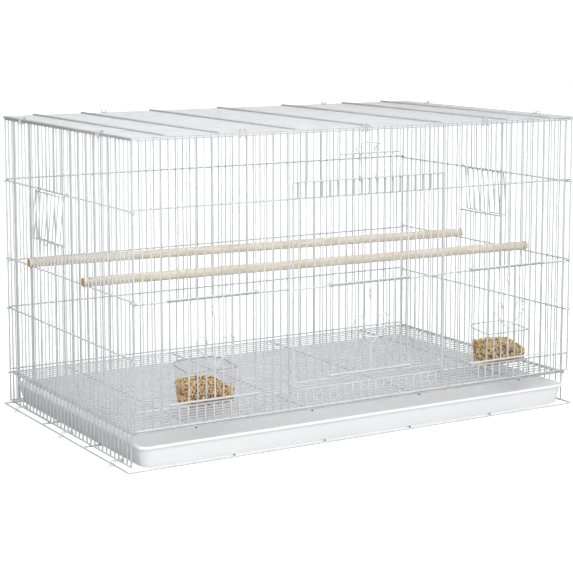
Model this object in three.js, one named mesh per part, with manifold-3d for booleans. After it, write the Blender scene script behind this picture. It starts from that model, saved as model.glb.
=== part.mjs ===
// A breeding cage for canaries, made of welded wire panels hooked together.
// Millimetres, +Z up. The front looks along -Y, and +X is to the right of
// someone who faces it. The origin lies under the middle of the whole cage.
import * as THREE from 'three';
import { mergeVertices } from 'three/addons/utils/BufferGeometryUtils.js';
import Module from 'manifold-3d';

const wasm = await Module();
wasm.setup();

// ---------------------------------------------------------------- sizes
// Wires
const barPitch = 13.5;        // from one upright wire to the next
const barDia = 2.0;           // upright wires
const postDia = 2.8;          // uprights at the ends of a panel and beside the main door
const railDia = 2.6;          // wires that cross the uprights
const borderSize = 3.0;       // square border wires at the top and foot of a panel
const weldBite = 0.2;         // how deep two welded wires sink into each other
const passGap = 0.1;          // between a crossing wire and the uprights that it isn't welded to
const clearance = 0.3;        // between pieces that touch
const cutEnd = 0.8;           // a cut wire ends this far past the one it is welded to

// Body, counted in gaps between uprights
const frontGaps = 56;
const sideGaps = 34;
const topZ = 454;             // border at the top of the panels

// Heights of the crossing wires on the front and back panels
const frontFootZ = 57;        // lowest wire of the front panel, above the grate
const sillZ = 83;             // carries the main door and the seed cups
const backFootRailZ = 56.5;
const lowRailZ = 157;
const midRailZ = 231;
const highRailDrop = 94;      // from the top border down
const hookStep = 3.0;         // the side panels' wires pass this far above or below those
const runnerZ = 50;           // side wires that carry the grate

// Main door, and the small sliding door in it
const jambBars = [18, 38];    // uprights that stand beside the door
const doorEdgeInset = 4;      // from an upright beside the door to the door's edge wire
const doorStandOff = 3.7;     // the door hangs this far in front of the panel
const doorEdgeDia = 2.4;
const doorFootZ = 96;
const doorTopRise = 24;       // its top wire above the crossing wire over the opening

// Sliding doors
const slideGuideGaps = 10;    // from guide wire to guide wire
const feederGuides = [4, 42]; // left guide wire of each feeder door
const centreGuide = 23;
const feederFootZ = 89;
const centreFootZ = 101;
const pullDrop = [10, 18, 30]; // the finger pull: its start, middle and end below the top wire
const pullReach = 4.2;

// Heart of bent wire on each sliding door
const heartDia = 2.0;
const heartApexZ = 45.5;      // above the foot wire of the door
const heartLobeZ = 80.5;
const centreHeartDrop = 6;     // the heart of the centre door sits lower than the others by this
const heartLobeX = 21.5;
const heartLobeRadius = 9;

// Nest box doors in the side panels
const nestLeftBar = 17;       // first upright beside the opening, left panel, counted from the front
const nestRightBar = 13;
const nestGaps = 8;
const nestSillDrop = 75;      // from the hinge wire down to the sill of the opening
const nestDoorDrop = 74;      // from the hinge wire down to the foot of the door
const nestHeadDrop = 3;       // from the hinge wire down to the door's own top wire
const nestEdgeShift = [-3, -5.5]; // the door's edge wires, behind the uprights beside the opening
const nestStandOff = 3.2;
const nestLean = THREE.MathUtils.degToRad(5);
const nestNotch = 5;          // depth of the notch in the foot wire
const nestWireDia = 2.2;

// Latch of the main door
const latchBarRise = 36;      // above the door's top wire
const latchBarHalf = 50;
const latchMiddle = -3.4;     // between its two legs, at the door's top wire
const latchHalf = 14;
const latchSpread = 1;        // each leg spreads this far on its way up
const latchLean = 1.6;        // and both lean this far to the left
const latchDia = 2.0;
const latchHandleRise = 16;   // above the latch bar
const latchHandleLeft = 22.5; // its bends, from the middle of the latch
const latchHandleRight = 18;

// Roof
const roofOverhang = 2;       // past the side panels
const roofCrossX = [0, 126, 248, 330]; // wires from front to back, on both sides of the middle
const roofCrossOverhang = 2.5;

// Tray
const traySideGap = 6;        // from the side panel's uprights to the rim
const trayFrontReach = 5;     // in front of the front panel
const trayBackGap = 4.5;      // short of the back panel
const trayHeight = 29;
const trayWall = 2;
const trayDraft = 5;          // how far the walls lean in on the way down
const trayBead = 3;           // rim outwards past the wall
const trayBeadHeight = 4;
const trayCorner = 16;

// Base frame of square wire
const baseSize = 3.0;
const baseSideReach = 10.5;   // outside the side panels
const trayWireSize = 2.6;
const trayWireX = [75, 225];
const baseCrossY = 76.5;
const baseHookBars = [3.5, 16.5, 29.5];
const baseHookFlare = 3.5;    // its outer end spreads this far from the rail
const hookDia = 1.8;
const hookWidth = 7;          // between the two legs of a hook or clip

// Grate
const grateBars = 33;         // gaps from its first wire to its last
const grateFront = 3;         // behind the front panel
const grateSideGap = 3.6;     // from the side panel to its edge wire
const grateCrossX = [94.5, 283.5];

// Perches
const perchRadius = 7.1;
const perchNeckRadius = 5.1;
const perchOverhang = 5.5;
const perchNeckIn = 5.2;      // neck starts inside the panel
const perchNeckOut = 2.3;     // and ends outside it
const perchFrontBars = [11.5, 8.5];  // gap that each end lies in: left end, right end
const perchBackBars = [26.5, 21.5];
const perchSides = 12;

// Seed cups
const cupShift = [0.5, 7];    // each cup hangs this far right of the middle of its door
const cupHalfWidth = 40.5;    // at the rim
const cupDepth = 58;
const cupHeight = 50.5;
const cupDropBelowSill = 5.5;
const cupBackRise = 6;
const cupWall = 1.8;
const cupDraft = 4;           // how far the walls lean in on the way down
const cupCorner = 20;
const cupLipWidth = 44;
const cupLipThickness = 1.8;
const seedHigh = 41;          // above the cup's floor, at the front of the left half
const seedLow = 17;           // at the right wall
const seedBackDrop = 12;      // lower at the back wall by this

// Roof clips
const frontClipX = [-15.5, -0.6, 15.5]; // in pitches from the middle
const backClipX = [-15.5, 15.5];
const leftClipBars = [7.5, 28.5];
const rightClipBars = [6.5, 28.5];
const clipRise = 2;           // its arch stands this far above the roof's edge

// ------------------------------------------------------------- worked out
const halfW = frontGaps * barPitch / 2;
const halfD = sideGaps * barPitch / 2;
const barR = barDia / 2;
const postR = postDia / 2;
const railR = railDia / 2;
const borderHalf = borderSize / 2;
const weldOffset = barR + railR - weldBite;   // centre to centre, welded
const passOffset = barR + railR + passGap;    // centre to centre, free of the uprights
const frontX = (bar) => -halfW + bar * barPitch;
const sideY = (bar) => -halfD + bar * barPitch;
const highRailZ = topZ - highRailDrop;
const doorTopZ = highRailZ + doorTopRise;
const latchBarZ = doorTopZ + latchBarRise;
const latchTopZ = latchBarZ + latchHandleRise;
const panelFootZ = baseSize + clearance + borderHalf;
const sideHighZ = highRailZ - hookStep;
const sideMidZ = midRailZ + hookStep;
const sideLowZ = lowRailZ - hookStep;
const nestSillZ = sideHighZ - nestSillDrop;
const trayHalfWidth = halfW - traySideGap;

// ------------------------------------------------------------- materials
const powderCoat = () => new THREE.MeshStandardMaterial({ color: 0xe9ebec, roughness: 0.42, metalness: 0.1 });
const trayPlastic = () => new THREE.MeshStandardMaterial({ color: 0xf0f2f4, roughness: 0.38, metalness: 0 });
const clearPlastic = () => new THREE.MeshStandardMaterial({
  color: 0xdfe6ea, roughness: 0.12, metalness: 0, transparent: true, opacity: 0.45 });
const birchWood = () => new THREE.MeshStandardMaterial({ color: 0xdccbb0, roughness: 0.75, metalness: 0 });
const seedMix = () => new THREE.MeshStandardMaterial({ color: 0xb98b4a, roughness: 0.85, metalness: 0 });

// ------------------------------------------------------- shapes and joining
function solidOf(geometry) {
  const bare = geometry.clone();
  bare.deleteAttribute('normal');
  bare.deleteAttribute('uv');
  const merged = mergeVertices(bare, 1e-5);
  return new wasm.Manifold(new wasm.Mesh({
    numProp: 3,
    vertProperties: Float32Array.from(merged.attributes.position.array),
    triVerts: Uint32Array.from(merged.index.array),
  }));
}

function geometryOf(solid) {
  const mesh = solid.getMesh();
  const geometry = new THREE.BufferGeometry();
  geometry.setAttribute('position', new THREE.BufferAttribute(Float32Array.from(mesh.vertProperties), 3));
  geometry.setIndex(new THREE.BufferAttribute(Uint32Array.from(mesh.triVerts), 1));
  geometry.computeVertexNormals();
  return geometry;
}

function welded(geometries) {
  return geometryOf(wasm.Manifold.union(geometries.map(solidOf)));
}

// A straight square wire between two points. Turned onto its edge, it is as
// wide from corner to corner as a round wire of that diameter.
function straightWire(from, to, size, onEdge = true) {
  const run = new THREE.Vector3().subVectors(to, from);
  const side = onEdge ? size / Math.SQRT2 : size;
  const geometry = new THREE.BoxGeometry(side, side, run.length());
  if (onEdge) geometry.rotateZ(Math.PI / 4);
  const turn = new THREE.Quaternion().setFromUnitVectors(new THREE.Vector3(0, 0, 1), run.clone().normalize());
  geometry.applyQuaternion(turn);
  const middle = from.clone().add(to).multiplyScalar(0.5);
  geometry.translate(middle.x, middle.y, middle.z);
  return geometry;
}

// A bent wire of four-sided section, swept through the given points.
function bentWire(points, dia) {
  const corners = 4;
  const count = points.length;
  const tangents = points.map((point, i) => {
    const before = points[Math.max(i - 1, 0)];
    const after = points[Math.min(i + 1, count - 1)];
    const inward = i > 0 ? point.clone().sub(before).normalize() : new THREE.Vector3();
    const outward = i < count - 1 ? after.clone().sub(point).normalize() : new THREE.Vector3();
    return inward.add(outward).normalize();
  });
  const seed = Math.abs(tangents[0].z) > 0.9 ? new THREE.Vector3(1, 0, 0) : new THREE.Vector3(0, 0, 1);
  let normal = seed.clone().addScaledVector(tangents[0], -seed.dot(tangents[0])).normalize();
  const positions = [];
  points.forEach((point, i) => {
    if (i > 0) {
      const roll = new THREE.Quaternion().setFromUnitVectors(tangents[i - 1], tangents[i]);
      normal = normal.clone().applyQuaternion(roll);
      normal.addScaledVector(tangents[i], -normal.dot(tangents[i])).normalize();
    }
    const binormal = new THREE.Vector3().crossVectors(tangents[i], normal);
    for (let k = 0; k < corners; k += 1) {
      const angle = k * 2 * Math.PI / corners;
      const corner = point.clone()
        .addScaledVector(normal, Math.cos(angle) * dia / 2)
        .addScaledVector(binormal, Math.sin(angle) * dia / 2);
      positions.push(corner.x, corner.y, corner.z);
    }
  });
  const faces = [];
  for (let i = 0; i < count - 1; i += 1) {
    for (let k = 0; k < corners; k += 1) {
      const a = i * corners + k;
      const b = i * corners + (k + 1) % corners;
      faces.push(a, b, b + corners, a, b + corners, a + corners);
    }
  }
  const last = (count - 1) * corners;
  faces.push(0, 2, 1, 0, 3, 2, last, last + 1, last + 2, last, last + 2, last + 3);
  const geometry = new THREE.BufferGeometry();
  geometry.setAttribute('position', new THREE.BufferAttribute(new Float32Array(positions), 3));
  geometry.setIndex(faces);
  return geometry;
}

// Points of an arc, as pairs, from one angle to another in degrees.
function arc(centreA, centreB, radius, fromDeg, toDeg, steps) {
  const points = [];
  for (let i = 0; i <= steps; i += 1) {
    const angle = THREE.MathUtils.degToRad(fromDeg + (toDeg - fromDeg) * i / steps);
    points.push([centreA + radius * Math.cos(angle), centreB + radius * Math.sin(angle)]);
  }
  return points;
}

const meshes = [];
function addPart(name, geometry, material, parent) {
  const mesh = new THREE.Mesh(geometry, material);
  mesh.name = name;
  parent.add(mesh);
  meshes.push(mesh);
  return mesh;
}

// ------------------------------------------------------------- grilles
// A panel is drawn flat: u runs along it, v up or back across it, and w out
// of it. place() turns that into a point of the cage.
const onFront = (u, v, w) => new THREE.Vector3(u, -halfD - w, v);
const onBack = (u, v, w) => new THREE.Vector3(u, halfD + w, v);
const onLeft = (u, v, w) => new THREE.Vector3(-halfW - w, u, v);
const onRight = (u, v, w) => new THREE.Vector3(halfW + w, u, v);

const upright = (place, u, v0, v1, dia = barDia, w = 0) =>
  straightWire(place(u, v0, w), place(u, v1, w), dia);
const rail = (place, v, u0, u1, w = -passOffset, dia = railDia) =>
  straightWire(place(u0, v, w), place(u1, v, w), dia);
const border = (place, v, u0, u1, w = 0, size = borderSize) =>
  straightWire(place(u0, v, w), place(u1, v, w), size, false);
const count = (from, to) => Array.from({ length: to - from + 1 }, (_, i) => from + i);

// ------------------------------------------------------------- front panel
const [doorLeftBar, doorRightBar] = jambBars;
const slideInner = (guide) => count(guide + 2, guide + slideGuideGaps - 2);
const feederBars = feederGuides.flatMap(slideInner);

function frontPanel() {
  const wires = [
    border(onFront, topZ, -halfW - borderHalf, halfW + borderHalf),
    border(onFront, frontFootZ, -halfW - borderHalf, halfW + borderHalf),
    rail(onFront, highRailZ, -halfW - cutEnd, halfW + cutEnd, -weldOffset),
    rail(onFront, sillZ, -halfW - cutEnd, halfW + cutEnd, -weldOffset),
    rail(onFront, midRailZ, -halfW - cutEnd, frontX(doorLeftBar) + cutEnd, -weldOffset),
    rail(onFront, midRailZ, frontX(doorRightBar) - cutEnd, halfW + cutEnd, -weldOffset),
    rail(onFront, latchBarZ, -latchBarHalf, latchBarHalf, weldOffset),
  ];
  for (const bar of count(0, frontGaps)) {
    const u = frontX(bar);
    const isPost = bar === 0 || bar === frontGaps || jambBars.includes(bar);
    const overDoor = bar > doorLeftBar && bar < doorRightBar;
    if (overDoor || feederBars.includes(bar)) {
      const openTop = overDoor ? highRailZ : midRailZ;
      wires.push(upright(onFront, u, openTop - cutEnd, topZ));
      wires.push(upright(onFront, u, frontFootZ, sillZ + cutEnd));
    } else {
      wires.push(upright(onFront, u, frontFootZ, topZ, isPost ? postDia : barDia));
    }
  }
  return welded(wires);
}

// ------------------------------------------------------------- back panel
function backPanel() {
  const reach = halfW + borderHalf;
  const wires = [border(onBack, topZ, -reach, reach), border(onBack, panelFootZ, -reach, reach)];
  for (const v of [backFootRailZ, lowRailZ, midRailZ, highRailZ]) {
    wires.push(rail(onBack, v, -halfW - cutEnd, halfW + cutEnd));
  }
  for (const bar of count(0, frontGaps)) {
    const isPost = bar === 0 || bar === frontGaps;
    wires.push(upright(onBack, frontX(bar), panelFootZ, topZ, isPost ? postDia : barDia));
  }
  return welded(wires);
}

// ------------------------------------------------------------- side panels
// The crossing wires of a side panel run on past its last uprights and hook
// round the end uprights of the front and back panels.
const hookRadius = postR + clearance + railR;
const hookSteps = 6;

function hookedRail(place, v, w, hookFront, hookBack) {
  const lead = THREE.MathUtils.radToDeg(Math.asin(-w / hookRadius));
  const tipAngle = 60;
  const backHook = arc(halfD, 0, hookRadius, -180 + lead, 180 - tipAngle, hookSteps);
  const frontHook = arc(-halfD, 0, hookRadius, -lead, -360 + tipAngle, hookSteps);
  const plainEnd = halfD - postR - railR - clearance;
  const front = hookFront ? frontHook.reverse() : [[-plainEnd, w]];
  const back = hookBack ? backHook : [[plainEnd, w]];
  return bentWire([...front, ...back].map(([u, out]) => place(u, v, out)), railDia);
}

function sidePanel(place, nestBar) {
  const nestBars = count(nestBar + 1, nestBar + nestGaps - 1);
  const foot = sideY(1) - borderHalf;
  const topReach = halfD - borderHalf - clearance;
  const wires = [
    border(place, topZ, -topReach, topReach),
    border(place, panelFootZ, foot, -foot),
    border(place, nestSillZ, sideY(nestBar), sideY(nestBar + nestGaps), 0, railDia),
    hookedRail(place, runnerZ, -passOffset, false, true),
    hookedRail(place, sideLowZ, -passOffset, true, true),
    hookedRail(place, sideMidZ, -passOffset, true, true),
    hookedRail(place, sideHighZ, -weldOffset, true, true),
  ];
  for (const bar of count(1, sideGaps - 1)) {
    const isPost = bar === 1 || bar === sideGaps - 1;
    if (nestBars.includes(bar)) {
      wires.push(upright(place, sideY(bar), sideHighZ - cutEnd, topZ));
      wires.push(upright(place, sideY(bar), panelFootZ, nestSillZ));
    } else {
      wires.push(upright(place, sideY(bar), panelFootZ, topZ, isPost ? postDia : barDia));
    }
  }
  return welded(wires);
}

// ------------------------------------------------------------- roof
const roofZ = topZ + borderSize + clearance;
const roofCrosses = [...new Set(roofCrossX.flatMap((x) => [-x, x]))];
const onRoof = (u, v, w) => new THREE.Vector3(u, v, roofZ + w);

function roofPanel() {
  const edge = halfW + roofOverhang;
  const alongY = (x, w, size, onEdge) => straightWire(
    onRoof(x, -halfD - roofCrossOverhang, w), onRoof(x, halfD + roofCrossOverhang, w), size, onEdge);
  const wires = [alongY(-edge, 0, borderSize, false), alongY(edge, 0, borderSize, false)];
  for (const x of roofCrosses) wires.push(alongY(x, passOffset, railDia, true));
  for (const bar of count(0, sideGaps)) {
    const isPost = bar === 0 || bar === sideGaps;
    wires.push(straightWire(onRoof(-edge, sideY(bar), 0), onRoof(edge, sideY(bar), 0), isPost ? postDia : barDia));
  }
  return welded(wires);
}

// ------------------------------------------------------------- grate
const grateX = halfW - grateSideGap;
const grateZ = runnerZ + railR + clearance + trayWireSize / 2;
const grateStartY = -halfD + grateFront;
const grateEndY = grateStartY + grateBars * barPitch;

function floorGrate() {
  const alongY = (x, z, size, onEdge) => straightWire(
    new THREE.Vector3(x, grateStartY - postR, z), new THREE.Vector3(x, grateEndY + postR, z), size, onEdge);
  const wires = [alongY(-grateX, grateZ, trayWireSize + 0.4, false), alongY(grateX, grateZ, trayWireSize + 0.4, false)];
  for (const x of grateCrossX.flatMap((value) => [-value, value])) {
    wires.push(alongY(x, grateZ - passOffset, railDia, true));
  }
  for (const bar of count(0, grateBars)) {
    const y = grateStartY + bar * barPitch;
    const isPost = bar === 0 || bar === grateBars;
    wires.push(straightWire(new THREE.Vector3(-grateX, y, grateZ), new THREE.Vector3(grateX, y, grateZ),
      isPost ? postDia : barDia));
  }
  return welded(wires);
}

// ------------------------------------------------------------- main door
const doorEdgeX = frontX(doorRightBar) - doorEdgeInset;
const doorHingeY = -halfD + weldOffset;

function mainDoor() {
  const centreOpening = slideInner(centreGuide);
  const flat = (v) => border(onFront, v, -doorEdgeX, doorEdgeX, doorStandOff, railDia);
  const wires = [flat(doorTopZ), flat(midRailZ), flat(doorFootZ)];
  for (const bar of count(doorLeftBar + 1, doorRightBar - 1)) {
    const start = centreOpening.includes(bar) ? midRailZ : doorFootZ;
    wires.push(upright(onFront, frontX(bar), start, doorTopZ, barDia, doorStandOff));
  }
  const eyeRadius = railR + clearance + doorEdgeDia / 2;
  const eye = arc(-weldOffset, sillZ, eyeRadius, 25, -230, 7);
  const bend = [[doorStandOff, doorTopZ], [doorStandOff, sillZ + 6], ...eye];
  for (const x of [-doorEdgeX, doorEdgeX]) {
    wires.push(bentWire(bend.map(([w, v]) => onFront(x, v, w)), doorEdgeDia));
  }
  return welded(wires);
}

// ------------------------------------------------------------- door latch
function doorLatch() {
  const cornerR = railR * Math.SQRT2;
  const eyeR = cornerR + clearance + latchDia / 2;
  const legW = doorStandOff + eyeR;
  const overBarW = weldOffset + 0.5;
  const eye = arc(doorStandOff, doorTopZ, eyeR, -250, 0, 7);
  const leg = (side) => eye.map(([w, v]) => onFront(latchMiddle + side * latchHalf, v, w));
  const at = (u, v, w) => onFront(latchMiddle - latchLean + u, v, w);
  const topHalf = latchHalf + latchSpread;
  const overLeft = [
    at(-topHalf, latchBarZ - 1, legW),
    at(-topHalf - 0.7, latchBarZ + 3.4, legW - 1.2),
    at(-topHalf - 3, latchBarZ + 4.4, overBarW),
    at(-latchHandleLeft, latchBarZ + 7, legW - 1),
  ];
  const handle = [
    at(-latchHandleLeft * 0.45, latchTopZ, legW + 2.6),
    at(latchHandleRight * 0.53, latchTopZ - 0.7, legW + 2.6),
    at(latchHandleRight - 2, latchTopZ - 1.6, legW + 2.8),
    at(latchHandleRight, latchTopZ - 3, legW + 1.4),
    at(latchHandleRight - 2, latchTopZ - 4.6, legW + 0.2),
    at(latchHandleRight * 0.64, latchTopZ - 6, legW - 0.2),
  ];
  const overRight = [
    at(topHalf - 4.9, latchBarZ + 7, legW - 1),
    at(topHalf - 3.6, latchBarZ + 4.4, overBarW),
    at(topHalf - 1.7, latchBarZ + 3.4, legW - 1.2),
    at(topHalf, latchBarZ - 1, legW),
  ];
  return bentWire([...leg(-1), ...overLeft, ...handle, ...overRight, ...leg(1).reverse()], latchDia);
}

// ------------------------------------------------------------- sliding doors
// Its top and foot wires hook round two uprights and slide on them.
function slidingDoor(guide, guideW, footZ, heartDrop = 0) {
  const topWireZ = midRailZ + railDia + clearance;
  const ringR = barR + clearance + railR;
  const doorW = guideW + ringR;
  const left = frontX(guide);
  const right = frontX(guide + slideGuideGaps);
  const middle = (left + right) / 2;
  const leftHook = arc(left, guideW, ringR, 90, 330, hookSteps).reverse();
  const rightHook = arc(right, guideW, ringR, 90, -150, hookSteps);
  const hooked = (v) => bentWire([...leftHook, ...rightHook].map(([u, w]) => onFront(u, v, w)), railDia);
  const wires = [hooked(topWireZ), hooked(footZ)];
  for (const bar of slideInner(guide)) {
    const u = frontX(bar);
    if (Math.abs(u - middle) > 1) {
      wires.push(upright(onFront, u, footZ, topWireZ, barDia, doorW));
    } else {
      const [start, bump, end] = pullDrop.map((drop) => topWireZ - drop);
      const run = [[0, footZ], [0, end], [-pullReach, bump], [0, start], [0, topWireZ]];
      wires.push(bentWire(run.map(([du, v]) => onFront(u + du, v, doorW)), barDia));
    }
  }
  const heartW = doorW + barR + heartDia / 2 - weldBite;
  for (const side of [-1, 1]) {
    const lobe = arc(heartLobeX, footZ + heartLobeZ - heartDrop, heartLobeRadius, -40, 190, 7);
    const run = [[0, footZ + heartApexZ - heartDrop], ...lobe];
    wires.push(bentWire(run.map(([du, v]) => onFront(middle + side * du, v, heartW)), heartDia));
  }
  return welded(wires);
}

// ------------------------------------------------------------- nest box doors
// Drawn hanging straight down from the hinge wire, then leaned outwards.
function nestDoor(place, nestBar, outward) {
  const y0 = sideY(nestBar) + nestEdgeShift[0];
  const y1 = sideY(nestBar + nestGaps) + nestEdgeShift[1];
  const footZ = sideHighZ - nestDoorDrop;
  const headZ = sideHighZ - nestHeadDrop;
  const middle = (y0 + y1) / 2;
  const eyeR = railR + clearance + nestWireDia / 2;
  const eye = arc(-weldOffset, sideHighZ, eyeR, 240, 30, 6);
  const side = (y) => [...eye, [nestStandOff, headZ + 2], [nestStandOff, footZ]]
    .map(([w, v]) => place(y, v, w));
  const notchHalf = barPitch / 2 - 1;
  const notchDepth = (y) => THREE.MathUtils.clamp(notchHalf + nestNotch - Math.abs(y - middle), 0, nestNotch);
  const foot = [
    place(middle - notchHalf - nestNotch, footZ, nestStandOff),
    place(middle - notchHalf, footZ - nestNotch, nestStandOff),
    place(middle + notchHalf, footZ - nestNotch, nestStandOff),
    place(middle + notchHalf + nestNotch, footZ, nestStandOff),
  ];
  const frame = bentWire([...side(y0), ...foot, ...side(y1).reverse()], nestWireDia);
  const wires = [frame, straightWire(place(y0, headZ, nestStandOff), place(y1, headZ, nestStandOff), nestWireDia)];
  for (const bar of count(nestBar + 1, nestBar + nestGaps - 1)) {
    const y = sideY(bar);
    const low = place(y, footZ - notchDepth(y), nestStandOff);
    wires.push(straightWire(low, place(y, headZ, nestStandOff), barDia));
  }
  const geometry = welded(wires);
  const hinge = place(0, sideHighZ, -weldOffset);
  geometry.translate(-hinge.x, 0, -hinge.z);
  geometry.rotateY(outward * nestLean);
  geometry.translate(hinge.x, 0, hinge.z);
  return geometry;
}

// ------------------------------------------------------------- shells
// Points of a rectangle with rounded corners, on its way round.
function roundedLoop(x0, x1, y0, y1, frontRadius, backRadius, steps, heightAt) {
  const corners = [
    [x1 - frontRadius, y0 + frontRadius, frontRadius, -90],
    [x1 - backRadius, y1 - backRadius, backRadius, 0],
    [x0 + backRadius, y1 - backRadius, backRadius, 90],
    [x0 + frontRadius, y0 + frontRadius, frontRadius, 180],
  ];
  return corners.flatMap(([cx, cy, radius, start]) => arc(cx, cy, radius, start, start + 90, steps)
    .map(([x, y]) => new THREE.Vector3(x, y, heightAt(y))));
}

// Closes a stack of loops into a solid, from the first loop to the last.
function shellOf(loops) {
  const size = loops[0].length;
  const positions = loops.flat().flatMap((point) => [point.x, point.y, point.z]);
  const faces = [];
  for (let ring = 0; ring < loops.length - 1; ring += 1) {
    for (let k = 0; k < size; k += 1) {
      const a = ring * size + k;
      const b = ring * size + (k + 1) % size;
      faces.push(a, b, b + size, a, b + size, a + size);
    }
  }
  const last = (loops.length - 1) * size;
  for (let k = 1; k < size - 1; k += 1) {
    faces.push(0, k + 1, k);
    faces.push(last, last + k, last + k + 1);
  }
  const geometry = new THREE.BufferGeometry();
  geometry.setAttribute('position', new THREE.BufferAttribute(new Float32Array(positions), 3));
  geometry.setIndex(faces);
  return geometry;
}

const trayFootZ = baseSize + clearance + trayWireSize + clearance;

function tray() {
  const rimZ = trayFootZ + trayHeight;
  const y0 = -halfD - trayFrontReach;
  const y1 = halfD - trayBackGap;
  const loop = (inset, z) => roundedLoop(-trayHalfWidth + inset, trayHalfWidth - inset, y0 + inset, y1 - inset,
    trayCorner - Math.min(inset, trayCorner - 4), trayCorner - Math.min(inset, trayCorner - 4), 4, () => z);
  const leanIn = trayBead + trayDraft;
  const shell = shellOf([
    loop(leanIn, trayFootZ),
    loop(trayBead, rimZ - trayBeadHeight),
    loop(0, rimZ - trayBeadHeight),
    loop(0, rimZ),
    loop(trayBead + trayWall, rimZ),
    loop(leanIn + trayWall, trayFootZ + trayWall),
  ]);
  return welded([shell]);
}

// ------------------------------------------------------------- seed cups
const cupZ = sillZ - cupDropBelowSill;
const cupFrontY = -halfD + weldOffset + railR + clearance;

function cupLoop(middle, inset, heightAt) {
  return roundedLoop(middle - cupHalfWidth + inset, middle + cupHalfWidth - inset,
    cupFrontY + inset, cupFrontY + cupDepth - inset, 3, cupCorner - inset, 4, heightAt);
}

function seedCup(middle) {
  const rimAt = (y) => cupZ + cupHeight + cupBackRise * (y - cupFrontY) / cupDepth;
  const shell = shellOf([
    cupLoop(middle, cupDraft, () => cupZ),
    cupLoop(middle, 0, rimAt),
    cupLoop(middle, cupWall, rimAt),
    cupLoop(middle, cupDraft + cupWall, () => cupZ + cupWall),
  ]);
  const lipBack = cupFrontY + cupWall + cupDraft;
  const lip = new THREE.BoxGeometry(cupLipWidth, lipBack + halfD, cupLipThickness);
  lip.translate(middle, (lipBack - halfD) / 2, sillZ + railR + clearance + cupLipThickness / 2);
  return geometryOf(solidOf(shell).add(solidOf(lip)).subtract(solidOf(shellOf([
    cupLoop(middle, cupDraft + cupWall, () => cupZ + cupWall + 0.01),
    cupLoop(middle, cupWall, (y) => rimAt(y) + 1),
  ]))));
}

function seedHeap(middle) {
  const inset = cupDraft + cupWall + clearance;
  const floorZ = cupZ + cupWall + clearance;
  const topAt = (x, y) => floorZ + THREE.MathUtils.lerp(seedHigh, seedLow, Math.max(x - middle, 0) / cupHalfWidth)
    - seedBackDrop * (y - cupFrontY) / cupDepth;
  const sloped = (extra, drop) => cupLoop(middle, inset + extra, () => 0).map((point) => {
    const ripple = 1.2 * Math.sin(point.x * 0.35) * Math.cos(point.y * 0.3);
    return new THREE.Vector3(point.x, point.y, topAt(point.x, point.y) - drop + ripple);
  });
  const heap = shellOf([cupLoop(middle, inset, () => floorZ), sloped(0, 4), sloped(7, 0), sloped(11, -1.5)]);
  return welded([heap]);
}

// ------------------------------------------------------------- perches
// A turned dowel whose neck drops between two uprights of each side panel
// and rests on the crossing wire there.
function perch(bars) {
  const yLeft = sideY(bars[0]);
  const yRight = sideY(bars[1]);
  const skew = Math.atan2(yRight - yLeft, 2 * halfW);
  const along = (x) => x / Math.cos(skew);
  const reach = along(halfW + perchOverhang);
  const neckOut = along(halfW + perchNeckOut);
  const neckIn = along(halfW - perchNeckIn);
  const chamfer = 1;
  const half = [
    [0, reach], [perchRadius - chamfer, reach], [perchRadius, reach - chamfer], [perchRadius, neckOut],
    [perchNeckRadius, neckOut], [perchNeckRadius, neckIn], [perchRadius, neckIn],
  ];
  const outline = [...half.map(([r, x]) => [r, -x]), ...half.map(([r, x]) => [r, x]).reverse()];
  const geometry = new THREE.LatheGeometry(outline.map(([r, x]) => new THREE.Vector2(r, x)), perchSides);
  geometry.rotateZ(-Math.PI / 2);
  geometry.rotateZ(skew);
  geometry.translate(0, (yLeft + yRight) / 2, sideMidZ + railR + clearance + perchNeckRadius);
  return welded([geometry]);
}

// ------------------------------------------------------------- clips and hooks
// A wire with two like legs, joined by a short run across their last points.
// Points are given as pairs, and toPoint() places one leg to each side.
function twoLegged(leg, toPoint) {
  const side = (sign) => leg.map(([a, b]) => toPoint(a, b, sign * hookWidth / 2));
  return bentWire([...side(-1), ...side(1).reverse()], hookDia);
}

// A clip holds a roof wire down on the top border of a panel. Its legs start
// under the border, come up outside and arch over to the inside.
const hookOff = clearance + hookDia / 2;

function roofClip(name, parent, outer, toPoint) {
  const cut = hookOff * 0.6;
  const right = outer + hookOff;
  const low = topZ - borderHalf - hookOff;
  const high = roofZ + borderHalf + hookOff + clipRise;
  const leg = [
    [-borderHalf, low], [right - cut, low], [right, low + cut], [right, high - cut], [right - cut, high],
    [-borderHalf - hookOff + cut, high], [-borderHalf - hookOff, high - cut - clipRise],
  ];
  addPart(name, twoLegged(leg, toPoint), powderCoat(), parent);
}

const baseRailX = halfW + baseSideReach;
const baseFrontY = -halfD - 0.5;
const baseBackY = halfD - baseSize / 2;
const baseHalf = baseSize / 2;

// A hook ties the foot of a side panel to the base rail outside it.
function baseHook(side, bar) {
  const inner = halfW - borderHalf - hookOff;
  const outer = baseRailX + baseHalf + hookOff;
  const top = panelFootZ + borderHalf + hookOff;
  const leg = [
    [inner, panelFootZ - 0.5], [inner, top - 1], [inner + 1, top], [outer - 2, top], [outer - 0.6, top - 0.8],
    [outer, top - 2.6], [outer + baseHookFlare, hookDia / 2 + 0.2],
  ];
  return twoLegged(leg, (x, z, along) => new THREE.Vector3(side * x, sideY(bar) + along, z));
}

// ------------------------------------------------------------- assembly
const cage = new THREE.Group();
const body = new THREE.Group();
cage.add(body);

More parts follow.
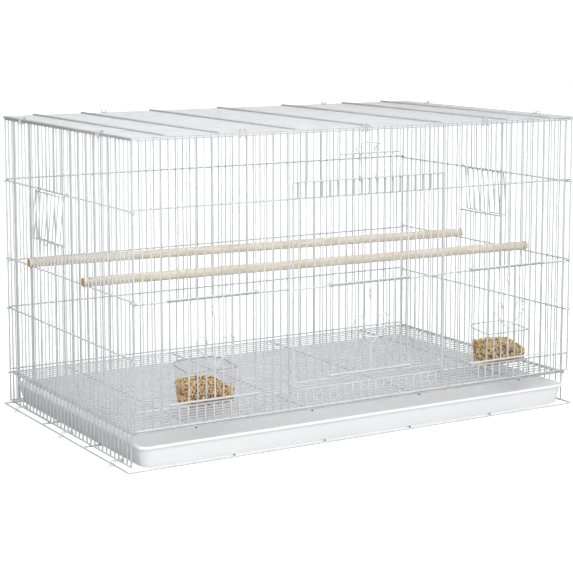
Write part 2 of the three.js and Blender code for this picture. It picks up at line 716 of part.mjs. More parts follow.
addPart('front_panel', frontPanel(), powderCoat(), body);
addPart('back_panel', backPanel(), powderCoat(), body);
addPart('left_panel', sidePanel(onLeft, nestLeftBar), powderCoat(), body);
addPart('right_panel', sidePanel(onRight, nestRightBar), powderCoat(), body);
addPart('roof_panel', roofPanel(), powderCoat(), body);
addPart('floor_grate', floorGrate(), powderCoat(), body);
addPart('tray', tray(), trayPlastic(), body);
addPart('main_door', mainDoor(), powderCoat(), body);
addPart('door_latch', doorLatch(), powderCoat(), body);
addPart('centre_door', slidingDoor(centreGuide, doorStandOff, centreFootZ, centreHeartDrop),
  powderCoat(), body);
addPart('feeder_door_left', slidingDoor(feederGuides[0], 0, feederFootZ), powderCoat(), body);
addPart('feeder_door_right', slidingDoor(feederGuides[1], 0, feederFootZ), powderCoat(), body);
addPart('nest_door_left', nestDoor(onLeft, nestLeftBar, 1), powderCoat(), body);
addPart('nest_door_right', nestDoor(onRight, nestRightBar, -1), powderCoat(), body);
addPart('perch_front', perch(perchFrontBars), birchWood(), body);
addPart('perch_back', perch(perchBackBars), birchWood(), body);

['left', 'right'].forEach((side, i) => {
  const middle = frontX(feederGuides[i] + slideGuideGaps / 2) + cupShift[i];
  addPart(`feeder_cup_${side}`, seedCup(middle), clearPlastic(), body);
  addPart(`seed_${side}`, seedHeap(middle), seedMix(), body);
});

// Base frame: four rails on the ground, two cross wires and four tray wires
const baseRail = (from, to) => straightWire(new THREE.Vector3(...from), new THREE.Vector3(...to), baseSize, false);
const railEndX = baseRailX + baseHalf;
const sideRailFront = baseFrontY + baseHalf + clearance;
const sideRailBack = baseBackY - baseHalf - clearance;
const crossReach = baseRailX - baseHalf - clearance;
addPart('base_front_rail', baseRail([-railEndX, baseFrontY, baseHalf], [railEndX, baseFrontY, baseHalf]), powderCoat(), body);
addPart('base_back_rail', baseRail([-railEndX, baseBackY, baseHalf], [railEndX, baseBackY, baseHalf]), powderCoat(), body);
for (const [side, name] of [[-1, 'left'], [1, 'right']]) {
  const x = side * baseRailX;
  addPart(`base_${name}_rail`, baseRail([x, sideRailFront, baseHalf], [x, sideRailBack, baseHalf]), powderCoat(), body);
}
for (const [side, name] of [[-1, 'front'], [1, 'back']]) {
  const y = side * baseCrossY;
  addPart(`base_cross_wire_${name}`, baseRail([-crossReach, y, baseHalf], [crossReach, y, baseHalf]), powderCoat(), body);
}
trayWireX.flatMap((x) => [-x, x]).sort((a, b) => a - b).forEach((x, i) => {
  const z = baseSize + clearance + trayWireSize / 2;
  const from = new THREE.Vector3(x, baseFrontY - baseHalf, z);
  const to = new THREE.Vector3(x, halfD - borderHalf - clearance, z);
  addPart(`tray_wire_${i + 1}`, straightWire(from, to, trayWireSize, false), powderCoat(), body);
});
for (const [side, name] of [[-1, 'left'], [1, 'right']]) {
  baseHookBars.forEach((bar, i) => {
    addPart(`base_hook_${name}_${i + 1}`, baseHook(side, bar), powderCoat(), body);
  });
}

// Clips that hold the roof down on the top borders of the panels
for (const [clips, onPanel, name] of [[frontClipX, onFront, 'front'], [backClipX, onBack, 'back']]) {
  clips.forEach((pitches, i) => {
    roofClip(`roof_clip_${name}_${i + 1}`, body, borderHalf,
      (w, z, along) => onPanel(pitches * barPitch + along, z, w));
  });
}
for (const [bars, onPanel, name] of [[leftClipBars, onLeft, 'left'], [rightClipBars, onRight, 'right']]) {
  bars.forEach((bar, i) => {
    roofClip(`roof_clip_${name}_${i + 1}`, body, borderHalf + roofOverhang,
      (w, z, along) => onPanel(sideY(bar) + along, z, w));
  });
}

// The origin goes under the middle of everything.
const whole = new THREE.Box3();
for (const mesh of meshes) {
  mesh.geometry.computeBoundingBox();
  whole.union(mesh.geometry.boundingBox);
}
body.position.set(-(whole.min.x + whole.max.x) / 2, -(whole.min.y + whole.max.y) / 2, -whole.min.z);
cage.updateMatrixWorld(true);

export default cage;
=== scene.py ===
# %% [markdown]
# # A breeding cage for canaries
# This cage is a box of coated steel wire that stands on a flat frame. It has
# a drop-down door with a bent-wire latch, small doors that slide up in front
# of two clear seed cups, two nest box doors, two wooden perches, a grate and
# a pull-out tray. The CAD model already has every piece in its place, with
# wires of a plain four-sided section. Here each piece is made again in the
# same place, with round wires that are a little thicker than the CAD's, real
# finishes and fine detail.

# %% Open the frame and keep its box
import math
import random
import bpy
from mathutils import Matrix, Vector


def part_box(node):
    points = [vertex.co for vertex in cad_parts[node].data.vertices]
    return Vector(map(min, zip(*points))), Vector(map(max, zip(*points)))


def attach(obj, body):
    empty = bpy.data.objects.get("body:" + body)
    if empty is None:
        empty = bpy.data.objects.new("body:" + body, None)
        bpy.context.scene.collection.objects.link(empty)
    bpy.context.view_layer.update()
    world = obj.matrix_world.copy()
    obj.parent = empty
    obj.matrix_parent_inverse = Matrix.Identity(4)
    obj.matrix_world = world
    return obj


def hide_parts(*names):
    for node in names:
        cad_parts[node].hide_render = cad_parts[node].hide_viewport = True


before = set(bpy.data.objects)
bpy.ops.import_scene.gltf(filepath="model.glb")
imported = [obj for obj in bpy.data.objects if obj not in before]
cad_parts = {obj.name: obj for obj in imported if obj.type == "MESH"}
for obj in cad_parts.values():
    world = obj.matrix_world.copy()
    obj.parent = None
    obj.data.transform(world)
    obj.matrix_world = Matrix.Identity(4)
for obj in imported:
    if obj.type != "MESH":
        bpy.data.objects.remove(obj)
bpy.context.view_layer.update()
print("CAD pieces:", len(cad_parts))

# %% [markdown]
# ## The measures
# A wire cage is a grid, so nearly every place on it is a count of gaps. The
# uprights stand 13.5 mm apart: 56 gaps across the front and 34 along each
# side. Millimetres are easier to read than metres, so the measures stay in
# millimetres and one small function turns them into Blender's metres. It
# also moves them to where the CAD has the cage, with the origin under its
# middle.

# %% Measures in millimetres
MM = 0.001
PITCH = 13.5
FRONT_GAPS = 56
SIDE_GAPS = 34
HALF_W = FRONT_GAPS * PITCH / 2
HALF_D = SIDE_GAPS * PITCH / 2
DOOR_LEFT, DOOR_RIGHT = 18, 38      # the uprights beside the main doorway, by number
BAR, POST = 2.4, 2.9                # thickness of an upright, and of one at a corner or a doorway
RAIL, BORDER = 2.8, 3.0             # thickness of a wire across, and of an outer one
WELDED = 2.1          # from the middle of an upright to the middle of a wire welded across it
CROSSING = 2.4        # the same where the wires only touch
CUT_END = 0.8
SKIN = 0.3            # room between pieces that touch

FOOT_Z, SILL_Z, LOW_Z, MID_Z, HIGH_Z, TOP_Z = 57, 83, 157, 231, 360, 454
SIDE_LOW_Z, SIDE_MID_Z, SIDE_HIGH_Z = 154, 234, 357
PANEL_FOOT_Z, RUNNER_Z, BACK_LOW_Z = 4.8, 50, 56.5
LATCH_BAR_Z = 420

low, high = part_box("base_front_rail")
Y_SHIFT = (low[1] + high[1]) / 2 / MM + HALF_D + 0.5


def at(x, y, z):
    """A point of the cage, from millimetres to the frame's metres."""
    return Vector((x, y + Y_SHIFT, z)) * MM


def on_front(u, v, w=0.0):
    return at(u, -HALF_D - w, v)


def on_back(u, v, w=0.0):
    return at(u, HALF_D + w, v)


def on_left(u, v, w=0.0):
    return at(-HALF_W - w, u, v)


def on_right(u, v, w=0.0):
    return at(HALF_W + w, u, v)


def front_x(bar):
    return -HALF_W + bar * PITCH


def side_y(bar):
    return -HALF_D + bar * PITCH


print("cage", 2 * HALF_W, "x", 2 * HALF_D, "mm, shifted", round(Y_SHIFT, 3))

# %% [markdown]
# ## The camera
# The photograph was taken from in front and a little to the left, from about
# the height of the roof, and from far enough away that the uprights look
# almost parallel. A long lens at the same distance gives that view, with a
# little vertical shift, because the uprights lean less in the photograph
# than a tilted camera would make them. The angles come from the corners of
# the cage in the photograph.

# %% Camera
YAW, PITCH_DOWN = math.radians(30.751), math.radians(7.174)
PHOTO_WIDTH, SENSOR_WIDTH = 573, 36
LENS_IN_PIXELS, SHIFT_IN_PIXELS = 1659.3, -80
bpy.ops.object.select_all(action="DESELECT")
bpy.ops.object.camera_add(location=at(-1323.7, -2220.1, 642.0),
                          rotation=(math.pi / 2 - PITCH_DOWN, 0, -YAW))
camera = bpy.context.object
camera.name = "camera"
camera.data.sensor_fit = "HORIZONTAL"
camera.data.sensor_width = SENSOR_WIDTH
camera.data.lens = LENS_IN_PIXELS / PHOTO_WIDTH * SENSOR_WIDTH
camera.data.shift_y = SHIFT_IN_PIXELS / PHOTO_WIDTH
camera.data.clip_end = 50
bpy.context.scene.camera = camera
print("lens", round(camera.data.lens, 1), "mm")

# %% [markdown]
# ## Finishes
# The wire is dipped in white coating, which is smooth and half glossy with a
# faint unevenness where it has flowed. The tray is moulded in glossy white
# plastic, the cups in clear plastic, and the perches are turned from a pale
# wood. Where the wires under the grate and the tray are cut off at the
# front, their ends are bare, dark steel. Each finish is a small set of nodes
# around one shader: a noise in Object coordinates gives the slight change of
# colour or gloss that real surfaces have.

# %% A helper that starts a finish
def new_finish(name, colour, roughness):
    """A material with one Principled shader, and the nodes and links to add to it."""
    finish = bpy.data.materials.new(name)
    finish.use_nodes = True
    nodes, links = finish.node_tree.nodes, finish.node_tree.links
    shader = nodes["Principled BSDF"]
    shader.inputs["Base Color"].default_value = (*colour, 1)
    shader.inputs["Roughness"].default_value = roughness
    return finish, nodes, links, shader


def noise_between(nodes, links, scale, first, second, stretch=(1, 1, 1), detail=3.0):
    """A noise in Object coordinates that runs between two colours."""
    place = nodes.new("ShaderNodeTexCoord")
    mapping = nodes.new("ShaderNodeMapping")
    mapping.inputs["Scale"].default_value = stretch
    noise = nodes.new("ShaderNodeTexNoise")
    noise.inputs["Scale"].default_value = scale
    noise.inputs["Detail"].default_value = detail
    ramp = nodes.new("ShaderNodeValToRGB")
    ramp.color_ramp.elements[0].position = 0.35
    ramp.color_ramp.elements[1].position = 0.65
    ramp.color_ramp.elements[0].color = (*first, 1)
    ramp.color_ramp.elements[1].color = (*second, 1)
    links.new(place.outputs["Object"], mapping.inputs["Vector"])
    links.new(mapping.outputs["Vector"], noise.inputs["Vector"])
    links.new(noise.outputs["Fac"], ramp.inputs["Fac"])
    return noise, ramp


def add_bump(nodes, links, shader, noise, strength, distance):
    bump = nodes.new("ShaderNodeBump")
    bump.inputs["Strength"].default_value = strength
    bump.inputs["Distance"].default_value = distance
    links.new(noise.outputs["Fac"], bump.inputs["Height"])
    links.new(bump.outputs["Normal"], shader.inputs["Normal"])


# %% White wire coating
coating, nodes, links, shader = new_finish("white_wire_coating", (0.66, 0.673, 0.688), 0.42)
_, ramp = noise_between(nodes, links, 45, (0.63, 0.641, 0.656), (0.69, 0.703, 0.719))
links.new(ramp.outputs["Color"], shader.inputs["Base Color"])
ripple, _ = noise_between(nodes, links, 900, (0, 0, 0), (1, 1, 1))
add_bump(nodes, links, shader, ripple, 0.25, 0.0001)
print("made", coating.name)

# %% Bare steel where a wire is cut
bare_steel, nodes, links, shader = new_finish("bare_steel_end", (0.10, 0.10, 0.105), 0.5)
shader.inputs["Metallic"].default_value = 0.6
_, ramp = noise_between(nodes, links, 500, (0.06, 0.06, 0.065), (0.16, 0.155, 0.15))
links.new(ramp.outputs["Color"], shader.inputs["Base Color"])
print("made", bare_steel.name)

# %% Tray plastic
tray_plastic, nodes, links, shader = new_finish("white_tray_plastic", (0.94, 0.94, 0.95), 0.32)
_, ramp = noise_between(nodes, links, 9, (0.925, 0.927, 0.935), (0.96, 0.962, 0.97))
links.new(ramp.outputs["Color"], shader.inputs["Base Color"])
fine, gloss = noise_between(nodes, links, 260, (0.28, 0.28, 0.28), (0.40, 0.40, 0.40))
links.new(gloss.outputs["Color"], shader.inputs["Roughness"])
add_bump(nodes, links, shader, fine, 0.08, 0.0002)
print("made", tray_plastic.name)

# %% Clear cup plastic
def clear_plastic(name, colour, thin, thick):
    """Plastic whose haze runs between thin and thick: faint for the cup walls, heavy for the painted
    outline of the rim bead.
    """
    finish, nodes, links, shader = new_finish(name, colour, 0.12)
    _, ramp = noise_between(nodes, links, 60, (thin,) * 3, (thick,) * 3)
    links.new(ramp.outputs["Color"], shader.inputs["Alpha"])
    print("made", name)
    return finish


cup_plastic = clear_plastic("clear_cup_plastic", (0.58, 0.61, 0.64), 0.06, 0.09)
# painted outline: the rim bead gets cloudy grey plastic in place of the light a clear rim catches
cup_rim = clear_plastic("cup_rim_painted_outline", (0.50, 0.52, 0.54), 0.8, 0.9)

# %% Perch wood and its end grain
perch_wood, nodes, links, shader = new_finish("pale_perch_wood", (0.77, 0.70, 0.59), 0.62)
grain, ramp = noise_between(nodes, links, 260, (0.68, 0.60, 0.47), (0.83, 0.77, 0.66),
                            stretch=(0.04, 1, 1), detail=6)
links.new(ramp.outputs["Color"], shader.inputs["Base Color"])
add_bump(nodes, links, shader, grain, 0.2, 0.0003)
end_grain, nodes, links, shader = new_finish("perch_end_grain", (0.52, 0.32, 0.17), 0.8)
rings, ramp = noise_between(nodes, links, 420, (0.42, 0.24, 0.12), (0.62, 0.42, 0.25), detail=4)
links.new(ramp.outputs["Color"], shader.inputs["Base Color"])
add_bump(nodes, links, shader, rings, 0.3, 0.0004)
print("made", perch_wood.name, "and", end_grain.name)

# %% Seed husks in five colours
SEED_COLOURS = {
    "golden_millet": ((0.72, 0.43, 0.07), (0.92, 0.68, 0.22)),
    "cream_canary_seed": ((0.86, 0.72, 0.42), (0.97, 0.90, 0.66)),
    "brown_hemp": ((0.16, 0.07, 0.03), (0.34, 0.17, 0.07)),
    "black_sunflower": ((0.012, 0.010, 0.010), (0.05, 0.045, 0.04)),
    "orange_millet": ((0.62, 0.22, 0.04), (0.80, 0.38, 0.10)),
}
seed_finishes = []
for name, (dark, light) in SEED_COLOURS.items():
    husk, nodes, links, shader = new_finish(name, dark, 0.5)
    noise, ramp = noise_between(nodes, links, 300, dark, light)
    links.new(ramp.outputs["Color"], shader.inputs["Base Color"])
    add_bump(nodes, links, shader, noise, 0.3, 0.0003)
    seed_finishes.append(husk)
print("made", len(seed_finishes), "husks")

# %% [markdown]
# ## How a wire is made
# A straight wire is a cylinder primitive, put at its place and turned along
# its run, with the rim of each end bevelled, because the coating rounds it.
# Many wires in a row are one wire with an Array modifier: that is quicker
# than hundreds of copies, and they stay evenly spaced. A bent wire is drawn
# as a path, given a round bevel, and turned into a mesh.

# %% Straight wires
SIDES = 12


def deselect():
    bpy.ops.object.select_all(action="DESELECT")


def wire(a, b, dia):
    """A straight round wire from a to b with rounded rims."""
    run = b - a
    deselect()
    bpy.ops.mesh.primitive_cylinder_add(vertices=SIDES, radius=dia * MM / 2, depth=run.length,
                                        location=(a + b) / 2,
                                        rotation=run.to_track_quat("Z", "Y").to_euler())
    bpy.ops.object.mode_set(mode="EDIT")
    bpy.ops.mesh.select_all(action="DESELECT")
    bpy.ops.mesh.edges_select_sharp(sharpness=math.radians(60))
    bpy.ops.mesh.bevel(offset=dia * MM * 0.16, segments=1)
    bpy.ops.object.mode_set(mode="OBJECT")
    bpy.ops.object.transform_apply(location=True, rotation=True, scale=True)
    return bpy.context.object


def row(a, b, dia, step, count):
    """One wire, repeated at equal steps."""
    first = wire(a, b, dia)
    if count > 1:
        array = first.modifiers.new("row", "ARRAY")
        array.use_relative_offset = False
        array.use_constant_offset = True
        array.constant_offset_displace = step
        array.count = count
        bpy.ops.object.modifier_apply(modifier=array.name)
    return first


def uprights(spot, bars, z0, z1, dia=BAR):
    """The uprights of a panel from one bar number to another."""
    first, last = bars
    a = spot(first, z0)
    return row(a, spot(first, z1), dia, spot(first + 1, z0) - a, last - first + 1)


def bare_front(piece, y):
    """A wire's coating, with its front end, at y metres, left bare."""
    piece.data.materials.append(coating)
    piece.data.materials.append(bare_steel)
    for face in piece.data.polygons:
        if face.center.y < y + 0.6 * MM and face.normal.y < -0.5:
            face.material_index = 1
    return piece


# %% Bent wires
def arc(centre_a, centre_b, radius, start, end, steps=18):
    """Points of an arc as pairs, with its angles in degrees."""
    points = []
    for i in range(steps + 1):
        angle = math.radians(start + (end - start) * i / steps)
        points.append((centre_a + radius * math.cos(angle), centre_b + radius * math.sin(angle)))
    return points


def rounded(points, radius):
    """The same run of points with each corner rounded."""
    steps = 5
    points = [Vector(point) for point in points]
    out = [points[0]]
    for before, corner, after in zip(points, points[1:], points[2:]):
        back, on = before - corner, after - corner
        reach = min(radius * MM, back.length * 0.45, on.length * 0.45)
        start, end = corner + back.normalized() * reach, corner + on.normalized() * reach
        for i in range(steps + 1):
            t = i / steps
            out.append(start * (1 - t) ** 2 + corner * 2 * t * (1 - t) + end * t ** 2)
    out.append(points[-1])
    return out


def bent(points, dia):
    """A bent round wire through the points."""
    deselect()
    bpy.ops.curve.primitive_nurbs_path_add(location=(0, 0, 0))
    path = bpy.context.object
    path.data.splines.clear()
    spline = path.data.splines.new("POLY")
    spline.points.add(len(points) - 1)
    for target, point in zip(spline.points, points):
        target.co = (*point, 1)
    path.data.bevel_depth = dia * MM / 2
    path.data.bevel_resolution = 2
    path.data.use_fill_caps = True
    bpy.ops.object.convert(target="MESH")
    return bpy.context.object


# %% Joining wires into a finished piece
def joined(parts):
    """Joins parts into the first of them."""
    deselect()
    for part in parts:
        part.select_set(True)
    bpy.context.view_layer.objects.active = parts[0]
    if len(parts) > 1:
        bpy.ops.object.join()
    return bpy.context.object


def finished(name, parts, body, replaced, finish=None, angle=40):
    """Joins parts into one piece that stands for a CAD node and rides on its body."""
    piece = joined(parts)
    bpy.ops.object.transform_apply(location=True, rotation=True, scale=True)
    bpy.ops.object.mode_set(mode="EDIT")
    bpy.ops.mesh.select_all(action="SELECT")
    bpy.ops.mesh.remove_doubles(threshold=0.000001)
    bpy.ops.mesh.normals_make_consistent(inside=False)
    bpy.ops.object.mode_set(mode="OBJECT")
    bpy.ops.object.shade_smooth_by_angle(angle=math.radians(angle))
    piece.name = piece.data.name = name
    if finish is not None:
        piece.data.materials.clear()
        piece.data.materials.append(finish)
    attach(piece, body)
    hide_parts(replaced)
    print(name, len(piece.data.polygons), "faces")


# %% [markdown]
# ## Front panel
# The front is one welded panel. Its uprights run from the foot wire to the
# top wire, except where they are cut away for the main door and the two
# feeder openings. The wires that cross them are welded on the inside, so the
# sliding doors can run up and down on the outside. A short wire above the
# door is there for the latch.

# %% Front panel
front_spot = lambda bar, z: on_front(front_x(bar), z)
reach = HALF_W + 1.5
parts = [
    wire(on_front(-reach, TOP_Z), on_front(reach, TOP_Z), BORDER),
    wire(on_front(-reach, FOOT_Z), on_front(reach, FOOT_Z), BORDER),
    wire(on_front(-HALF_W - CUT_END, HIGH_Z, -WELDED), on_front(HALF_W + CUT_END, HIGH_Z, -WELDED), RAIL),
    wire(on_front(-HALF_W - CUT_END, SILL_Z, -WELDED), on_front(HALF_W + CUT_END, SILL_Z, -WELDED), RAIL),
    wire(on_front(-HALF_W - CUT_END, MID_Z, -WELDED),
         on_front(front_x(DOOR_LEFT) + CUT_END, MID_Z, -WELDED), RAIL),
    wire(on_front(front_x(DOOR_RIGHT) - CUT_END, MID_Z, -WELDED),
         on_front(HALF_W + CUT_END, MID_Z, -WELDED), RAIL),
    wire(on_front(-50, LATCH_BAR_Z, WELDED), on_front(50, LATCH_BAR_Z, WELDED), RAIL),
]
for bar in (0, DOOR_LEFT, DOOR_RIGHT, FRONT_GAPS):
    parts.append(uprights(front_spot, (bar, bar), FOOT_Z, TOP_Z, POST))
for bars in ((1, 4), (14, 17), (39, 42), (52, 55)):
    parts.append(uprights(front_spot, bars, FOOT_Z, TOP_Z))
for bars, open_top in (((19, 37), HIGH_Z), ((5, 13), MID_Z), ((43, 51), MID_Z)):
    parts.append(uprights(front_spot, bars, open_top - CUT_END, TOP_Z))
    parts.append(uprights(front_spot, bars, FOOT_Z, SILL_Z + CUT_END))
finished("front_panel_wires", parts, "cage", "front_panel", coating)

# %% [markdown]
# ## Back panel
# The back has no openings, so it is simply a full row of uprights between
# two border wires, with four wires across its inner side.

# %% Back panel
back_spot = lambda bar, z: on_back(front_x(bar), z)
parts = [wire(on_back(-reach, z), on_back(reach, z), BORDER) for z in (TOP_Z, PANEL_FOOT_Z)]
for z in (BACK_LOW_Z, LOW_Z, MID_Z, HIGH_Z):
    parts.append(wire(on_back(-HALF_W - CUT_END, z, -CROSSING),
                      on_back(HALF_W + CUT_END, z, -CROSSING), RAIL))
for bar in (0, FRONT_GAPS):
    parts.append(uprights(back_spot, (bar, bar), PANEL_FOOT_Z, TOP_Z, POST))
parts.append(uprights(back_spot, (1, FRONT_GAPS - 1), PANEL_FOOT_Z, TOP_Z))
finished("back_panel_wires", parts, "cage", "back_panel", coating)

# %% [markdown]
# ## Side panels
# The crossing wires of the sides run on past the last upright and are bent
# round the corner uprights of the front and back, and that is what holds the
# box together. High up in each side the uprights are cut away for the
# entrance of a nest box.

# %% A crossing wire with hooks at its ends
HOOK_RADIUS = POST / 2 + SKIN + RAIL / 2


def hooked_wire(place, z, w, hook_front=True):
    lead = math.degrees(math.asin(-w / HOOK_RADIUS))
    back = arc(HALF_D, 0, HOOK_RADIUS, -180 + lead, 120)
    front = list(reversed(arc(-HALF_D, 0, HOOK_RADIUS, -lead, -300)))
    if not hook_front:
        front = [(-HALF_D + POST / 2 + RAIL / 2 + SKIN, w)]
    return bent([place(u, z, out) for u, out in front + back], RAIL)


# %% Both side panels
NEST_BARS = {"left": 17, "right": 13}
NEST_GAPS = 8
NEST_SILL_Z = 282


def side_panel(side, place):
    spot = lambda bar, z: place(side_y(bar), z)
    nest = NEST_BARS[side]
    top_reach = HALF_D - 1.5 - SKIN
    foot_reach = HALF_D - PITCH + 1.5
    parts = [
        wire(place(-top_reach, TOP_Z), place(top_reach, TOP_Z), BORDER),
        wire(place(-foot_reach, PANEL_FOOT_Z), place(foot_reach, PANEL_FOOT_Z), BORDER),
        wire(spot(nest, NEST_SILL_Z), spot(nest + NEST_GAPS, NEST_SILL_Z), RAIL),
        hooked_wire(place, RUNNER_Z, -CROSSING, hook_front=False),
        hooked_wire(place, SIDE_LOW_Z, -CROSSING),
        hooked_wire(place, SIDE_MID_Z, -CROSSING),
        hooked_wire(place, SIDE_HIGH_Z, -WELDED),
    ]
    for bar in (1, SIDE_GAPS - 1):
        parts.append(uprights(spot, (bar, bar), PANEL_FOOT_Z, TOP_Z, POST))
    parts.append(uprights(spot, (2, nest), PANEL_FOOT_Z, TOP_Z))
    parts.append(uprights(spot, (nest + NEST_GAPS, SIDE_GAPS - 2), PANEL_FOOT_Z, TOP_Z))
    parts.append(uprights(spot, (nest + 1, nest + NEST_GAPS - 1), PANEL_FOOT_Z, NEST_SILL_Z))
    parts.append(uprights(spot, (nest + 1, nest + NEST_GAPS - 1), SIDE_HIGH_Z - CUT_END, TOP_Z))
    finished(f"{side}_panel_wires", parts, "cage", f"{side}_panel", coating)


side_panel("left", on_left)
side_panel("right", on_right)

# %% [markdown]
# ## Roof
# The roof is a panel like the others, but it lies flat: long wires from end
# to end, and seven wires from front to back on top of them, whose cut ends
# show along the edges.

# %% Roof panel
ROOF_Z = TOP_Z + BORDER + SKIN
ROOF_EDGE = HALF_W + 2
depth = HALF_D + 2.5
parts = [wire(at(x, -depth, ROOF_Z), at(x, depth, ROOF_Z), BORDER) for x in (-ROOF_EDGE, ROOF_EDGE)]
for x in (-330, -248, -126, 0, 126, 248, 330):
    parts.append(wire(at(x, -depth, ROOF_Z + CROSSING), at(x, depth, ROOF_Z + CROSSING), RAIL))
for y in (-HALF_D, HALF_D):
    parts.append(wire(at(-ROOF_EDGE, y, ROOF_Z), at(ROOF_EDGE, y, ROOF_Z), POST))
parts.append(row(at(-ROOF_EDGE, side_y(1), ROOF_Z), at(ROOF_EDGE, side_y(1), ROOF_Z), BAR,
                 Vector((0, PITCH * MM, 0)), SIDE_GAPS - 1))
finished("roof_wires", parts, "cage", "roof_panel", coating)

# %% [markdown]
# ## Grate
# Droppings fall through this grate into the tray. It rests with its two edge
# wires on the lowest wires of the sides, and slides out over them.

# %% Floor grate
GRATE_X = HALF_W - 3.6
GRATE_GAPS = 33
GRATE_Z = RUNNER_Z + RAIL / 2 + SKIN + 1.3
GRATE_START = -HALF_D + 3
GRATE_END = GRATE_START + GRATE_GAPS * PITCH
y0, y1 = GRATE_START - 1.4, GRATE_END + 1.4
parts = [wire(at(x, y0, GRATE_Z), at(x, y1, GRATE_Z), BORDER) for x in (-GRATE_X, GRATE_X)]
for x in (-283.5, -94.5, 94.5, 283.5):
    support = wire(at(x, y0, GRATE_Z - CROSSING), at(x, y1, GRATE_Z - CROSSING), RAIL)
    parts.append(bare_front(support, at(x, y0, 0).y))
for y in (GRATE_START, GRATE_END):
    parts.append(wire(at(-GRATE_X, y, GRATE_Z), at(GRATE_X, y, GRATE_Z), POST))
y = GRATE_START + PITCH
parts.append(row(at(-GRATE_X, y, GRATE_Z), at(GRATE_X, y, GRATE_Z), BAR,
                 Vector((0, PITCH * MM, 0)), GRATE_GAPS - 1))
for part in parts:
    if not part.data.materials:
        part.data.materials.append(coating)
finished("floor_grate_wires", parts, "grate", "floor_grate")

# %% [markdown]
# ## Main door
# The door hangs in front of its opening. Its two edge wires run down past
# its foot and curl round the sill wire, so it turns on that wire and drops
# open towards whoever stands in front. The uprights in its lower middle are
# cut away for the small sliding door.

# %% Main door
DOOR_W = 3.7
DOOR_X = front_x(DOOR_RIGHT) - 4
DOOR_TOP_Z, DOOR_FOOT_Z = 384, 96
door_spot = lambda bar, z: on_front(front_x(bar), z, DOOR_W)
parts = [wire(on_front(-DOOR_X, z, DOOR_W), on_front(DOOR_X, z, DOOR_W), RAIL)
         for z in (DOOR_TOP_Z, MID_Z, DOOR_FOOT_Z)]
parts.append(uprights(door_spot, (DOOR_LEFT + 1, 24), DOOR_FOOT_Z, DOOR_TOP_Z))
parts.append(uprights(door_spot, (25, 31), MID_Z, DOOR_TOP_Z))
parts.append(uprights(door_spot, (32, DOOR_RIGHT - 1), DOOR_FOOT_Z, DOOR_TOP_Z))
eye = arc(-WELDED, SILL_Z, RAIL / 2 + SKIN + 1.2, 25, -230)
for x in (-DOOR_X, DOOR_X):
    edge = [on_front(x, v, w) for w, v in [(DOOR_W, DOOR_TOP_Z), (DOOR_W, SILL_Z + 6)]]
    parts.append(bent(rounded(edge + [on_front(x, v, w) for w, v in eye[:1]], 3)
                      + [on_front(x, v, w) for w, v in eye[1:]], 2.4))
finished("main_door_wires", parts, "main_door", "main_door", coating)

# %% [markdown]
# ## Latch
# One piece of thinner wire makes the whole latch. Its two legs curl round
# the top wire of the door, go up in front of the short latch bar, step back
# over it, and meet in a small handle.

# %% Door latch
LATCH_DIA, LATCH_X, LEG_X = 2.0, -3.4, 14
EYE_R = RAIL / 2 * math.sqrt(2) + SKIN + LATCH_DIA / 2
LEG_W = DOOR_W + EYE_R
OVER_W = WELDED + 0.5
LATCH_TOP_Z = 436


def latch_eye(x):
    return [on_front(x, v, w) for w, v in arc(DOOR_W, DOOR_TOP_Z, EYE_R, -250, 0)]


# Each bend is given as its place across, its height and its place forward.
bends = [
    (-15, LATCH_BAR_Z - 1, LEG_W), (-15.7, LATCH_BAR_Z + 3.4, LEG_W - 1.2),
    (-18, LATCH_BAR_Z + 4.4, OVER_W), (-22.5, LATCH_BAR_Z + 7, LEG_W - 1),
    (-10.1, LATCH_TOP_Z, LEG_W + 2.6), (9.5, LATCH_TOP_Z - 0.7, LEG_W + 2.6),
    (16, LATCH_TOP_Z - 1.6, LEG_W + 2.8), (18, LATCH_TOP_Z - 3, LEG_W + 1.4),
    (16, LATCH_TOP_Z - 4.6, LEG_W + 0.2), (11.5, LATCH_TOP_Z - 6, LEG_W - 0.2),
    (10.1, LATCH_BAR_Z + 7, LEG_W - 1), (11.4, LATCH_BAR_Z + 4.4, OVER_W),
    (13.3, LATCH_BAR_Z + 3.4, LEG_W - 1.2), (15, LATCH_BAR_Z - 1, LEG_W),
]
left_eye, right_eye = latch_eye(LATCH_X - LEG_X), latch_eye(LATCH_X + LEG_X)[::-1]
middle = [on_front(LATCH_X - 1.6 + u, v, w) for u, v, w in bends]
path = left_eye[:-1] + rounded([left_eye[-1]] + middle + [right_eye[0]], 2) + right_eye[1:]
finished("door_latch_wire", [bent(path, LATCH_DIA)], "latch", "door_latch", coating)

# %% [markdown]
# ## Sliding doors
# The seed cups are reached through doors that slide up. Their top and foot
# wires hook round two uprights, which are the rails they run on. The middle
# wire has a kink to pull on, and a heart of bent wire is welded on the front.
# The main door has one more of them.

# %% A sliding door
SLIDE_GAPS = 10
HEART_DIA = 2.0


